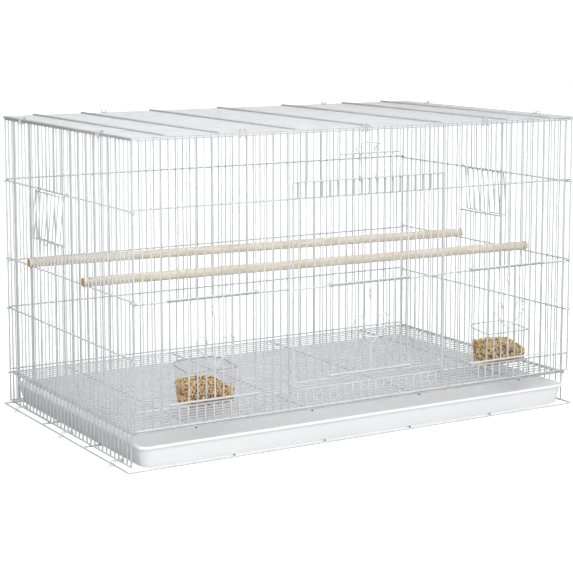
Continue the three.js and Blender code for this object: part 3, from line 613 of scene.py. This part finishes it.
def sliding_door(name, body, node, guide, guide_w, foot_z, heart_z):
    top_z = MID_Z + RAIL + SKIN
    ring = BAR / 2 + SKIN + RAIL / 2
    door_w = guide_w + ring
    left, right = front_x(guide), front_x(guide + SLIDE_GAPS)
    middle = (left + right) / 2
    hooks = arc(left, guide_w, ring, 90, 330)[::-1] + arc(right, guide_w, ring, 90, -150)
    parts = [bent([on_front(u, z, w) for u, w in hooks], RAIL) for z in (top_z, foot_z)]
    spot = lambda bar, z: on_front(front_x(bar), z, door_w)
    parts.append(uprights(spot, (guide + 2, guide + 4), foot_z, top_z))
    parts.append(uprights(spot, (guide + 6, guide + 8), foot_z, top_z))
    pull = [(0, foot_z), (0, top_z - 30), (-4.2, top_z - 18), (0, top_z - 10), (0, top_z)]
    parts.append(bent(rounded([on_front(middle + du, v, door_w) for du, v in pull], 5), BAR))
    heart_w = door_w + BAR / 2 + HEART_DIA / 2 - 0.2
    for side in (-1, 1):
        half = [(0, heart_z)] + arc(21.5, heart_z + 35, 9, -40, 190)
        parts.append(bent([on_front(middle + side * du, v, heart_w) for du, v in half], HEART_DIA))
    finished(name, parts, body, node, coating)


sliding_door("centre_door_wires", "centre_door", "centre_door", 23, DOOR_W, 101, 140.5)
sliding_door("feeder_door_left_wires", "feeder_door_left", "feeder_door_left", 4, 0, 89, 134.5)
sliding_door("feeder_door_right_wires", "feeder_door_right", "feeder_door_right", 42, 0, 89, 134.5)

# %% [markdown]
# ## Nest box doors
# When no nest box is hung on the cage, a small gate closes each entrance. It
# is bent from one wire whose ends curl round a crossing wire of the side,
# with a notch in its foot for a fingertip. In the photograph the gates hang
# a little open.

# %% Nest box doors
NEST_LEAN = math.radians(5)
NEST_W = 3.2
NEST_DIA = 2.2
NOTCH = 5


def nest_door(side, place, outward):
    nest = NEST_BARS[side]
    y0, y1 = side_y(nest) - 3, side_y(nest + NEST_GAPS) - 5.5
    foot, head = SIDE_HIGH_Z - 74, SIDE_HIGH_Z - 3
    middle = (y0 + y1) / 2
    curl = arc(-WELDED, SIDE_HIGH_Z, RAIL / 2 + SKIN + 1.1, 240, 30)
    leg = curl + [(NEST_W, head + 2), (NEST_W, foot)]
    half = PITCH / 2 - 1
    notch = [(middle - half - NOTCH, foot), (middle - half, foot - NOTCH),
             (middle + half, foot - NOTCH), (middle + half + NOTCH, foot)]
    corners = [place(y0, v, w) for w, v in leg[-3:]] + [place(y, z, NEST_W) for y, z in notch]
    corners += [place(y1, v, w) for w, v in leg[-3:][::-1]]
    path = [place(y0, v, w) for w, v in leg[:-3]] + rounded(corners, 3)
    path += [place(y1, v, w) for w, v in leg[:-3][::-1]]
    parts = [bent(path, NEST_DIA), wire(place(y0, head, NEST_W), place(y1, head, NEST_W), NEST_DIA)]
    for bar in range(nest + 1, nest + NEST_GAPS):
        dip = min(NOTCH, max(0, half + NOTCH - abs(side_y(bar) - middle)))
        parts.append(wire(place(side_y(bar), foot - dip, NEST_W), place(side_y(bar), head, NEST_W), BAR))
    piece = joined(parts)
    bpy.ops.object.mode_set(mode="EDIT")
    bpy.ops.mesh.select_all(action="SELECT")
    bpy.ops.transform.rotate(value=-outward * NEST_LEAN, orient_axis="Y", orient_type="GLOBAL",
                             center_override=place(middle, SIDE_HIGH_Z, -WELDED))
    bpy.ops.object.mode_set(mode="OBJECT")
    finished(f"nest_door_{side}_wires", [piece], f"nest_door_{side}", f"nest_door_{side}", coating)


nest_door("left", on_left, 1)
nest_door("right", on_right, -1)

# %% [markdown]
# ## Perches
# A perch is a turned dowel. Near each end a neck is cut in it that drops
# between two uprights, so the thicker end stays outside the cage. It starts
# as a cylinder with rings of edges, and the neck is made by scaling the
# rings in between. The ends are darker, because end grain soaks up dirt.

# %% A perch
def perch(name, bars):
    y_left, y_right = side_y(bars[0]), side_y(bars[1])
    skew = math.atan2(y_right - y_left, 2 * HALF_W)
    along = lambda x: x / math.cos(skew) * MM
    z = SIDE_MID_Z + RAIL / 2 + SKIN + 5.1
    radius, neck = 7.1 * MM, 5.1 * MM
    reach_x, neck_out, neck_in = along(HALF_W + 5.5), along(HALF_W + 2.3), along(HALF_W - 5.2)
    deselect()
    bpy.ops.mesh.primitive_cylinder_add(vertices=32, radius=radius, depth=2 * reach_x,
                                        rotation=(0, math.pi / 2, 0))
    bpy.ops.object.transform_apply(location=True, rotation=True, scale=True)
    dowel = bpy.context.object
    bpy.ops.object.mode_set(mode="EDIT")
    for cut in (-neck_out, -neck_in, neck_in, neck_out):
        for nudge in (-0.2 * MM, 0.2 * MM):
            bpy.ops.mesh.select_all(action="SELECT")
            bpy.ops.mesh.bisect(plane_co=(cut + nudge, 0, 0), plane_no=(1, 0, 0))
    bpy.ops.mesh.select_all(action="DESELECT")
    bpy.ops.mesh.edges_select_sharp(sharpness=math.radians(60))
    bpy.ops.mesh.bevel(offset=0.9 * MM, segments=3)
    bpy.ops.object.mode_set(mode="OBJECT")
    for vertex in dowel.data.vertices:
        if neck_in < abs(vertex.co.x) < neck_out:
            vertex.co.y *= neck / radius
            vertex.co.z *= neck / radius
    dowel.data.materials.append(perch_wood)
    dowel.data.materials.append(end_grain)
    for face in dowel.data.polygons:
        if abs(face.normal.x) > 0.6 and abs(face.center.x) > neck_out + MM:
            face.material_index = 1
    bpy.ops.object.mode_set(mode="EDIT")
    bpy.ops.mesh.select_all(action="SELECT")
    bpy.ops.transform.rotate(value=-skew, orient_axis="Z", orient_type="GLOBAL", center_override=(0, 0, 0))
    bpy.ops.transform.translate(value=at(0, (y_left + y_right) / 2, z))
    bpy.ops.object.mode_set(mode="OBJECT")
    finished(f"{name}_dowel", [dowel], name, name, angle=50)


perch("perch_front", (11.5, 8.5))
perch("perch_back", (26.5, 21.5))

# %% [markdown]
# ## Tray
# The tray is moulded with slightly sloping walls, rounded corners and a rim
# that turns outwards and down, which stiffens it and is easy to grip. It
# starts as a box: the upright edges are bevelled, the foot is scaled in, the
# top is opened, the rim is extruded, and a Solidify modifier gives the wall
# its thickness.

# %% Selecting by place, and walls
def select_faces(piece, test):
    """Selects, in edit mode, the faces that pass a test, and nothing else."""
    bpy.ops.object.mode_set(mode="EDIT")
    bpy.ops.mesh.select_mode(type="FACE")
    bpy.ops.mesh.select_all(action="DESELECT")
    bpy.ops.object.mode_set(mode="OBJECT")
    for face in piece.data.polygons:
        face.select = test(face)
    bpy.ops.object.mode_set(mode="EDIT")


def select_edges(piece, test):
    """Selects, in edit mode, the edges whose two ends pass a test, and nothing else."""
    bpy.ops.object.mode_set(mode="EDIT")
    bpy.ops.mesh.select_mode(type="EDGE")
    bpy.ops.mesh.select_all(action="DESELECT")
    bpy.ops.object.mode_set(mode="OBJECT")
    corners = piece.data.vertices
    for edge in piece.data.edges:
        edge.select = test(corners[edge.vertices[0]].co, corners[edge.vertices[1]].co)
    bpy.ops.object.mode_set(mode="EDIT")


def with_walls(piece, thickness, softness, segments):
    """Gives an open shell its wall, inwards, and softens its sharp edges."""
    wall = piece.modifiers.new("wall", "SOLIDIFY")
    wall.thickness = thickness * MM
    wall.offset = -1
    bpy.ops.object.modifier_apply(modifier=wall.name)
    soft = piece.modifiers.new("soft_edges", "BEVEL")
    soft.width = softness * MM
    soft.segments = segments
    soft.limit_method = "ANGLE"
    soft.angle_limit = math.radians(40)
    bpy.ops.object.modifier_apply(modifier=soft.name)


# %% Tray
TRAY_Z0 = 3 + SKIN + 2.6 + SKIN
TRAY_Z1 = TRAY_Z0 + 29
TRAY_X = HALF_W - 6
RIM, RIM_DROP, TRAY_DRAFT, TRAY_CORNER = 3, 4, 5, 13
TRAY_Y0, TRAY_Y1 = -HALF_D - 5, HALF_D - 4.5
inner_x, inner_y = TRAY_X - RIM, (TRAY_Y1 - TRAY_Y0) / 2 - RIM
mid_y = (TRAY_Y0 + TRAY_Y1) / 2
deselect()
bpy.ops.mesh.primitive_cube_add(size=2, location=at(0, mid_y, (TRAY_Z0 + TRAY_Z1) / 2),
                                scale=(inner_x * MM, inner_y * MM, 14.5 * MM))
bpy.ops.object.transform_apply(location=True, rotation=True, scale=True)
tray = bpy.context.object
select_edges(tray, lambda a, b: abs(a.z - b.z) > 0.01)
bpy.ops.mesh.bevel(offset=TRAY_CORNER * MM, segments=10)
select_faces(tray, lambda face: face.normal.z < -0.9)
bpy.ops.transform.resize(value=(1 - TRAY_DRAFT / inner_x, 1 - TRAY_DRAFT / inner_y, 1),
                         center_override=at(0, mid_y, TRAY_Z0))
select_faces(tray, lambda face: face.normal.z > 0.9)
bpy.ops.mesh.delete(type="ONLY_FACE")
select_edges(tray, lambda a, b: min(a.z, b.z) > (TRAY_Z1 - 1) * MM)
bpy.ops.mesh.extrude_region_move()
bpy.ops.transform.resize(value=(TRAY_X / inner_x, (inner_y + RIM) / inner_y, 1),
                         center_override=at(0, mid_y, TRAY_Z1))
bpy.ops.mesh.extrude_region_move(TRANSFORM_OT_translate={"value": (0, 0, -RIM_DROP * MM)})
bpy.ops.mesh.select_all(action="SELECT")
bpy.ops.mesh.normals_make_consistent(inside=False)
bpy.ops.object.mode_set(mode="OBJECT")
with_walls(tray, 1.8, 0.7, 3)
finished("tray_moulding", [tray], "tray", "tray", tray_plastic)

# %% [markdown]
# ## Seed cups
# The cups are thin clear plastic, rounded at the back so that seed doesn't
# pack into corners, a little higher at the back than at the front, and they
# hang by a small shelf on the sill wire. The walls are made like the tray's.
# Round the rim runs a bead, bent like a wire; its plastic is cloudy grey, a painted outline that stands in
# for the light a clear rim catches.

# %% A seed cup
CUP_Z0 = SILL_Z - 5.5
CUP_RIM_Z = CUP_Z0 + 50.5
CUP_CORNER, RIM_RISE = 20, 6
CUP_X, CUP_DEPTH, CUP_DRAFT = 40.5, 58, 4
CUP_Y0 = -HALF_D + WELDED + RAIL / 2 + SKIN


def cup_shell(middle):
    deselect()
    half_y, half_z = CUP_DEPTH / 2, (CUP_RIM_Z - CUP_Z0) / 2
    behind = at(0, CUP_Y0 + half_y, 0).y
    bpy.ops.mesh.primitive_cube_add(size=2, location=at(middle, CUP_Y0 + half_y, CUP_Z0 + half_z),
                                    scale=(CUP_X * MM, half_y * MM, half_z * MM))
    bpy.ops.object.transform_apply(location=True, rotation=True, scale=True)
    cup = bpy.context.object
    select_edges(cup, lambda a, b: abs(a.z - b.z) > 0.01 and a.y > behind)
    bpy.ops.mesh.bevel(offset=CUP_CORNER * MM, segments=12)
    select_edges(cup, lambda a, b: abs(a.z - b.z) > 0.01 and max(a.y, b.y) < behind)
    bpy.ops.mesh.bevel(offset=3 * MM, segments=5)
    select_faces(cup, lambda face: face.normal.z < -0.9)
    bpy.ops.transform.resize(value=(1 - CUP_DRAFT / CUP_X, 1 - CUP_DRAFT / half_y, 1),
                             center_override=at(middle, CUP_Y0 + half_y, CUP_Z0))
    select_faces(cup, lambda face: face.normal.z > 0.9)
    bpy.ops.mesh.delete(type="ONLY_FACE")
    bpy.ops.object.mode_set(mode="OBJECT")
    front = at(0, CUP_Y0, 0).y
    for vertex in cup.data.vertices:
        if vertex.co.z > (CUP_Z0 + 40) * MM:
            vertex.co.z += RIM_RISE * (vertex.co.y - front) / CUP_DEPTH
    with_walls(cup, 1.2, 0.4, 2)
    cup.data.materials.append(cup_plastic)
    return cup


def cup_bead(middle):
    """The bead round the rim of a cup, which stiffens it; its cloudy grey is a painted outline for the
    light a clear rim catches.
    """
    x1, y0, y1 = CUP_X - 0.7, CUP_Y0 + 0.7, CUP_Y0 + CUP_DEPTH - 0.7
    outline = [(-x1 + x1 * i / 4, y0) for i in range(9)]
    outline += arc(x1 - CUP_CORNER, y1 - CUP_CORNER, CUP_CORNER, 0, 90, 8)
    outline += arc(CUP_CORNER - x1, y1 - CUP_CORNER, CUP_CORNER, 90, 180, 8)
    points = [at(middle + x, y, CUP_RIM_Z + RIM_RISE * (y - CUP_Y0) / CUP_DEPTH)
              for x, y in outline + outline[:1]]
    bead = bent(points, 1.7)
    bead.data.materials.append(cup_rim)
    return bead


def cup_shelf(middle):
    """The small shelf that rests on the sill wire."""
    y0, y1 = -HALF_D, CUP_Y0 + 4.4
    half_x, half_z = 22, 0.9
    z = SILL_Z + RAIL / 2 + SKIN + half_z
    deselect()
    bpy.ops.mesh.primitive_cube_add(size=2, location=at(middle, (y0 + y1) / 2, z),
                                    scale=(half_x * MM, (y1 - y0) / 2 * MM, half_z * MM))
    bpy.ops.object.mode_set(mode="EDIT")
    bpy.ops.mesh.select_all(action="SELECT")
    bpy.ops.mesh.bevel(offset=0.5 * MM, segments=2)
    bpy.ops.object.mode_set(mode="OBJECT")
    bpy.ops.object.transform_apply(location=True, rotation=True, scale=True)
    bpy.context.object.data.materials.append(cup_plastic)
    return bpy.context.object


# %% [markdown]
# ## Seed
# The seed is a mix of grains, from pale canary seed to black sunflower. One
# grain is an icosphere that is drawn out along its length. It is copied to
# rings of places inside the clear walls, one ring above the other, and then
# over the top of the heap, which falls away to the right. The same random
# numbers are used in each run, so the heap never changes.

# %% Where the grains lie
SEED_Z0 = CUP_Z0 + 1.4
# For each kind: how often it comes, in the top layer and below it, the half of
# its width in millimetres, and how many times longer it is than wide.
KINDS = {
    "golden_millet": (0.56, 0.44, 1.25, 1.2),
    "cream_canary_seed": (0.24, 0.16, 1.0, 2.3),
    "brown_hemp": (0.05, 0.11, 1.45, 1.2),
    "black_sunflower": (0.05, 0.10, 1.5, 1.9),
    "orange_millet": (0.10, 0.19, 1.25, 1.2),
}


def seed_top(x, y):
    """The height of the heap: it falls away to the right, and a little to the back."""
    return CUP_Z0 + 42.0 - 24.0 * max(x, 0) / CUP_X - 12.0 * (y - CUP_Y0) / CUP_DEPTH


def ring_inside(z, gap):
    """Points round the inside of a cup at a height, a grain apart, some way in from its wall."""
    inset = CUP_DRAFT * (CUP_RIM_Z - z) / (CUP_RIM_Z - CUP_Z0) + gap
    x1, y0, y1 = CUP_X - inset, CUP_Y0 + inset, CUP_Y0 + CUP_DEPTH - inset
    radius = CUP_CORNER - gap
    corners = [(x1, y0), (x1, y1 - radius)] + arc(x1 - radius, y1 - radius, radius, 10, 90, 8)
    corners += arc(radius - x1, y1 - radius, radius, 90, 170, 8) + [(-x1, y1 - radius), (-x1, y0)]
    points = []
    for (xa, ya), (xb, yb) in zip(corners, corners[1:] + corners[:1]):
        steps = max(1, round(math.hypot(xb - xa, yb - ya) / 2.0))
        points += [(xa + (xb - xa) * i / steps, ya + (yb - ya) * i / steps) for i in range(steps)]
    return points


def ring_flat(gap):
    """The same nearer the middle of the cup, where the corners no longer matter."""
    x1, y0, y1 = CUP_X - gap, CUP_Y0 + gap, CUP_Y0 + CUP_DEPTH - gap
    if y1 <= y0:
        y0 = y1 = (y0 + y1) / 2
    steps = max(1, round(2 * x1 / 2.0))
    return [(-x1 + 2 * x1 * i / steps, y) for i in range(steps + 1) for y in {y0, y1}]


def seed_places(side):
    """Every grain against the walls, and then a layer over the top of the heap."""
    rng = random.Random(7 if side == "left" else 11)
    jitter = lambda size: rng.uniform(-size, size)
    places = []
    z = SEED_Z0 + 0.9
    while z < CUP_Z0 + 40:
        for x, y in ring_inside(z, 2.5):
            if z < seed_top(x, y):
                places.append((x + jitter(0.5), y + jitter(0.5), z + jitter(0.6)))
        z += 1.9
    for gap in range(4, 38, 2):
        for x, y in ring_inside(CUP_Z0 + 38, gap) if gap < 19 else ring_flat(gap):
            places.append((x + jitter(0.8), y + jitter(0.8), seed_top(x, y) + jitter(0.9)))
    grains = {name: [] for name in KINDS}
    for x, y, z in places:
        layer = 0 if z > seed_top(x, y) - 9 else 1
        name = rng.choices(list(KINDS), weights=[kind[layer] for kind in KINDS.values()])[0]
        grains[name].append((x, y, z, rng.random() * math.tau, rng.uniform(-1.2, 1.2)))
    return grains


# %% One grain, copied to every place of its kind
def grain_cloud(finish, places, middle):
    size, stretch = KINDS[finish.name][2:]
    deselect()
    bpy.ops.mesh.primitive_ico_sphere_add(subdivisions=1, radius=1)
    pattern = bpy.context.object
    corners = [vertex.co.copy() for vertex in pattern.data.vertices]
    faces = [tuple(face.vertices) for face in pattern.data.polygons]
    points, cells = [], []
    for x, y, z, turn, tilt in places:
        start = len(points)
        for corner in corners:
            a, b, c = corner.x * size * stretch, corner.y * size, corner.z * size * 0.85
            a, c = a * math.cos(tilt) + c * math.sin(tilt), c * math.cos(tilt) - a * math.sin(tilt)
            a, b = a * math.cos(turn) - b * math.sin(turn), a * math.sin(turn) + b * math.cos(turn)
            points.append(at(middle + x + a, y + b, z + c))
        cells += [tuple(start + i for i in face) for face in faces]
    pattern.data.clear_geometry()
    pattern.data.from_pydata(points, [], cells)
    pattern.data.materials.append(finish)
    return pattern


def seed_bed_painted_shade(middle):
    """What lies under the grains that show, as one dark bed: painted shade between the grains."""
    half_x, half_y = CUP_X - CUP_DRAFT - 3.6, CUP_DEPTH / 2 - CUP_DRAFT - 3.6
    deselect()
    bpy.ops.mesh.primitive_cube_add(size=2, location=at(middle, CUP_Y0 + CUP_DEPTH / 2, SEED_Z0 + 16.5),
                                    scale=(half_x * MM, half_y * MM, 16 * MM))
    bpy.ops.object.transform_apply(location=True, rotation=True, scale=True)
    bed = bpy.context.object
    bpy.ops.object.mode_set(mode="EDIT")
    bpy.ops.mesh.select_all(action="SELECT")
    bpy.ops.mesh.bisect(plane_co=at(middle, 0, 0), plane_no=(1, 0, 0))
    select_edges(bed, lambda a, b: abs(a.z - b.z) > 0.01 and abs(a.x - middle * MM) > 0.01)
    bpy.ops.mesh.bevel(offset=12 * MM, segments=6)
    bpy.ops.object.mode_set(mode="OBJECT")
    for vertex in bed.data.vertices:
        if vertex.co.z > (SEED_Z0 + 16) * MM:
            vertex.co.z = (seed_top(vertex.co.x / MM - middle, vertex.co.y / MM - Y_SHIFT) - 1.2) * MM
    # painted shade: the bed takes the dark brown hemp husk, so the gaps between the top grains look shaded
    bed.data.materials.append(seed_finishes[2])
    return bed


# %% Cups and seed in their places
for side, middle in (("left", front_x(9) + 0.5), ("right", front_x(47) + 7)):
    cup = [cup_shell(middle), cup_bead(middle), cup_shelf(middle)]
    finished(f"seed_cup_{side}", cup, f"cup_{side}", f"feeder_cup_{side}")
    grains = seed_places(side)
    clouds = [grain_cloud(finish, grains[finish.name], middle) for finish in seed_finishes]
    finished(f"seed_mix_{side}", [seed_bed_painted_shade(middle)] + clouds, f"cup_{side}", f"seed_{side}", angle=80)

# %% [markdown]
# ## Base frame
# The cage stands on four wires, with two more across and four from front to
# back that carry the tray. Small hooks hold the side panels on the outer
# wires.

# %% Base frame
BASE_X = HALF_W + 10.5
FRONT_Y, BACK_Y = -HALF_D - 0.5, HALF_D - 1.5
BASE_Z, TRAY_WIRE_Z = BORDER / 2, 4.6
CROSS_Y = 76.5
ends, inside = BASE_X + 1.5, BASE_X - 1.8
base_wires = {
    "base_front_rail": (at(-ends, FRONT_Y, BASE_Z), at(ends, FRONT_Y, BASE_Z)),
    "base_back_rail": (at(-ends, BACK_Y, BASE_Z), at(ends, BACK_Y, BASE_Z)),
    "base_left_rail": (at(-BASE_X, FRONT_Y + 1.8, BASE_Z), at(-BASE_X, BACK_Y - 1.8, BASE_Z)),
    "base_right_rail": (at(BASE_X, FRONT_Y + 1.8, BASE_Z), at(BASE_X, BACK_Y - 1.8, BASE_Z)),
    "base_cross_wire_front": (at(-inside, -CROSS_Y, BASE_Z), at(inside, -CROSS_Y, BASE_Z)),
    "base_cross_wire_back": (at(-inside, CROSS_Y, BASE_Z), at(inside, CROSS_Y, BASE_Z)),
}
for node, (a, b) in base_wires.items():
    finished(f"{node}_round", [wire(a, b, BORDER)], "cage", node, coating)
for i, x in enumerate((-225, -75, 75, 225)):
    a, b = at(x, FRONT_Y - 1.5, TRAY_WIRE_Z), at(x, HALF_D - 1.8, TRAY_WIRE_Z)
    finished(f"tray_wire_{i + 1}_round", [bare_front(wire(a, b, RAIL), a.y)], "cage", f"tray_wire_{i + 1}")

# %% Base hooks and roof clips
HOOK_DIA, HOOK_WIDTH = 1.8, 7
OFF = SKIN + HOOK_DIA / 2


def two_legged(name, leg, place, radius):
    """A piece of wire with two like legs and a short run across their ends."""
    sides = [[place(a, b, way * HOOK_WIDTH / 2) for a, b in leg] for way in (-1, 1)]
    run = rounded(sides[0] + sides[1][::-1], radius)
    finished(f"{name}_round", [bent(run, HOOK_DIA)], "cage", name, coating)


def base_hook(side, name, bar):
    inner, outer, top = HALF_W - 1.5 - OFF, BASE_X + 1.5 + OFF, PANEL_FOOT_Z + 1.5 + OFF
    leg = [(inner, PANEL_FOOT_Z - 0.5), (inner, top), (outer - 1, top - 0.2), (outer, top - 2.6),
           (outer + 3.5, HOOK_DIA / 2 + 0.2)]
    two_legged(name, leg, lambda x, z, along: at(side * x, side_y(bar) + along, z), 2)


for side, word in ((-1, "left"), (1, "right")):
    for i, bar in enumerate((3.5, 16.5, 29.5)):
        base_hook(side, f"base_hook_{word}_{i + 1}", bar)


def roof_clip(name, outer, place):
    """A clip that arches over a roof wire and grips the border below it."""
    low, high = TOP_Z - 1.5 - OFF, ROOF_Z + 1.5 + OFF + 2
    leg = [(-1.5, low), (outer + OFF, low), (outer + OFF, high), (-1.5 - OFF, high), (-1.5 - OFF, high - 3)]
    two_legged(name, leg, place, 1.4)


for i, pitches in enumerate((-15.5, -0.6, 15.5)):
    roof_clip(f"roof_clip_front_{i + 1}", 1.5, lambda w, z, along: on_front(pitches * PITCH + along, z, w))
for i, pitches in enumerate((-15.5, 15.5)):
    roof_clip(f"roof_clip_back_{i + 1}", 1.5, lambda w, z, along: on_back(pitches * PITCH + along, z, w))
for place, word, bars in ((on_left, "left", (7.5, 28.5)), (on_right, "right", (6.5, 28.5))):
    for i, bar in enumerate(bars):
        roof_clip(f"roof_clip_{word}_{i + 1}", 3.5, lambda w, z, along: place(side_y(bar) + along, z, w))

# %% [markdown]
# ## Floor, light and background
# The cage stands on a white floor in a pale room that is bright overhead and
# dim near the horizon. Two large lamps in front give the wires a lit side
# and a darker one, without which they would melt into the white. What the
# camera sees behind the cage, also through the clear cups, is plain white.
# The other rays see a greyer floor and the room, so that the background
# doesn't wash out the wires from behind and below.

# %% One shader for the camera and another for the light
def shown_to_camera(nodes, links, for_light, for_camera, surface):
    """Camera rays, also behind clear plastic, see one shader, and other rays another."""
    path = nodes.new("ShaderNodeLightPath")
    either = nodes.new("ShaderNodeMath")
    either.operation = "MAXIMUM"
    choose = nodes.new("ShaderNodeMixShader")
    links.new(path.outputs["Is Camera Ray"], either.inputs[0])
    links.new(path.outputs["Is Transmission Ray"], either.inputs[1])
    links.new(either.outputs[0], choose.inputs["Fac"])
    links.new(for_light, choose.inputs[1])
    links.new(for_camera, choose.inputs[2])
    links.new(choose.outputs["Shader"], surface)


# %% Floor
deselect()
bpy.ops.mesh.primitive_plane_add(size=14, location=(0, 0, 0))
floor = bpy.context.object
floor.name = "floor"
floor_paint, nodes, links, shader = new_finish("floor_paint", (0.92, 0.92, 0.92), 0.9)
underfoot = nodes.new("ShaderNodeBsdfDiffuse")
underfoot.inputs["Color"].default_value = (0.46, 0.46, 0.46, 1)
glow = nodes.new("ShaderNodeEmission")
glow.inputs["Color"].default_value = (1, 1, 1, 1)
glow.inputs["Strength"].default_value = 0.8
add = nodes.new("ShaderNodeAddShader")
links.new(shader.outputs["BSDF"], add.inputs[0])
links.new(glow.outputs["Emission"], add.inputs[1])
shown_to_camera(nodes, links, underfoot.outputs["BSDF"], add.outputs["Shader"],
                nodes["Material Output"].inputs["Surface"])
floor.data.materials.append(floor_paint)
print("floor laid")

# %% World and lamps
world = bpy.data.worlds.new("white_room")
bpy.context.scene.world = world
world.use_nodes = True
nodes, links = world.node_tree.nodes, world.node_tree.links
nodes.clear()
room = nodes.new("ShaderNodeBackground")
room.inputs["Strength"].default_value = 0.92
sky_place = nodes.new("ShaderNodeTexCoord")
sky_parts = nodes.new("ShaderNodeSeparateXYZ")
sky_ramp = nodes.new("ShaderNodeValToRGB")
sky_ramp.color_ramp.elements[0].position = 0.0
sky_ramp.color_ramp.elements[0].color = (0.05, 0.052, 0.056, 1)
sky_ramp.color_ramp.elements[1].position = 0.8
sky_ramp.color_ramp.elements[1].color = (1.0, 1.0, 1.0, 1)
links.new(sky_place.outputs["Generated"], sky_parts.inputs["Vector"])
links.new(sky_parts.outputs["Z"], sky_ramp.inputs["Fac"])
links.new(sky_ramp.outputs["Color"], room.inputs["Color"])
behind = nodes.new("ShaderNodeBackground")
behind.inputs["Color"].default_value = (1, 1, 1, 1)
behind.inputs["Strength"].default_value = 1.0
output = nodes.new("ShaderNodeOutputWorld")
shown_to_camera(nodes, links, room.outputs["Background"], behind.outputs["Background"],
                output.inputs["Surface"])


def lamp(name, place, size, watts):
    deselect()
    aim = (Vector((0, 0, 0.2)) - Vector(place)).to_track_quat("-Z", "Y").to_euler()
    bpy.ops.object.light_add(type="AREA", location=place, rotation=aim)
    light = bpy.context.object
    light.name = name
    light.data.shape = "SQUARE"
    light.data.size = size
    light.data.energy = watts


lamp("key_lamp", (-1.7, -2.8, 1.8), 2.0, 84)
lamp("fill_lamp", (2.0, -2.0, 1.5), 2.0, 24)
bpy.context.scene.view_settings.view_transform = "Standard"
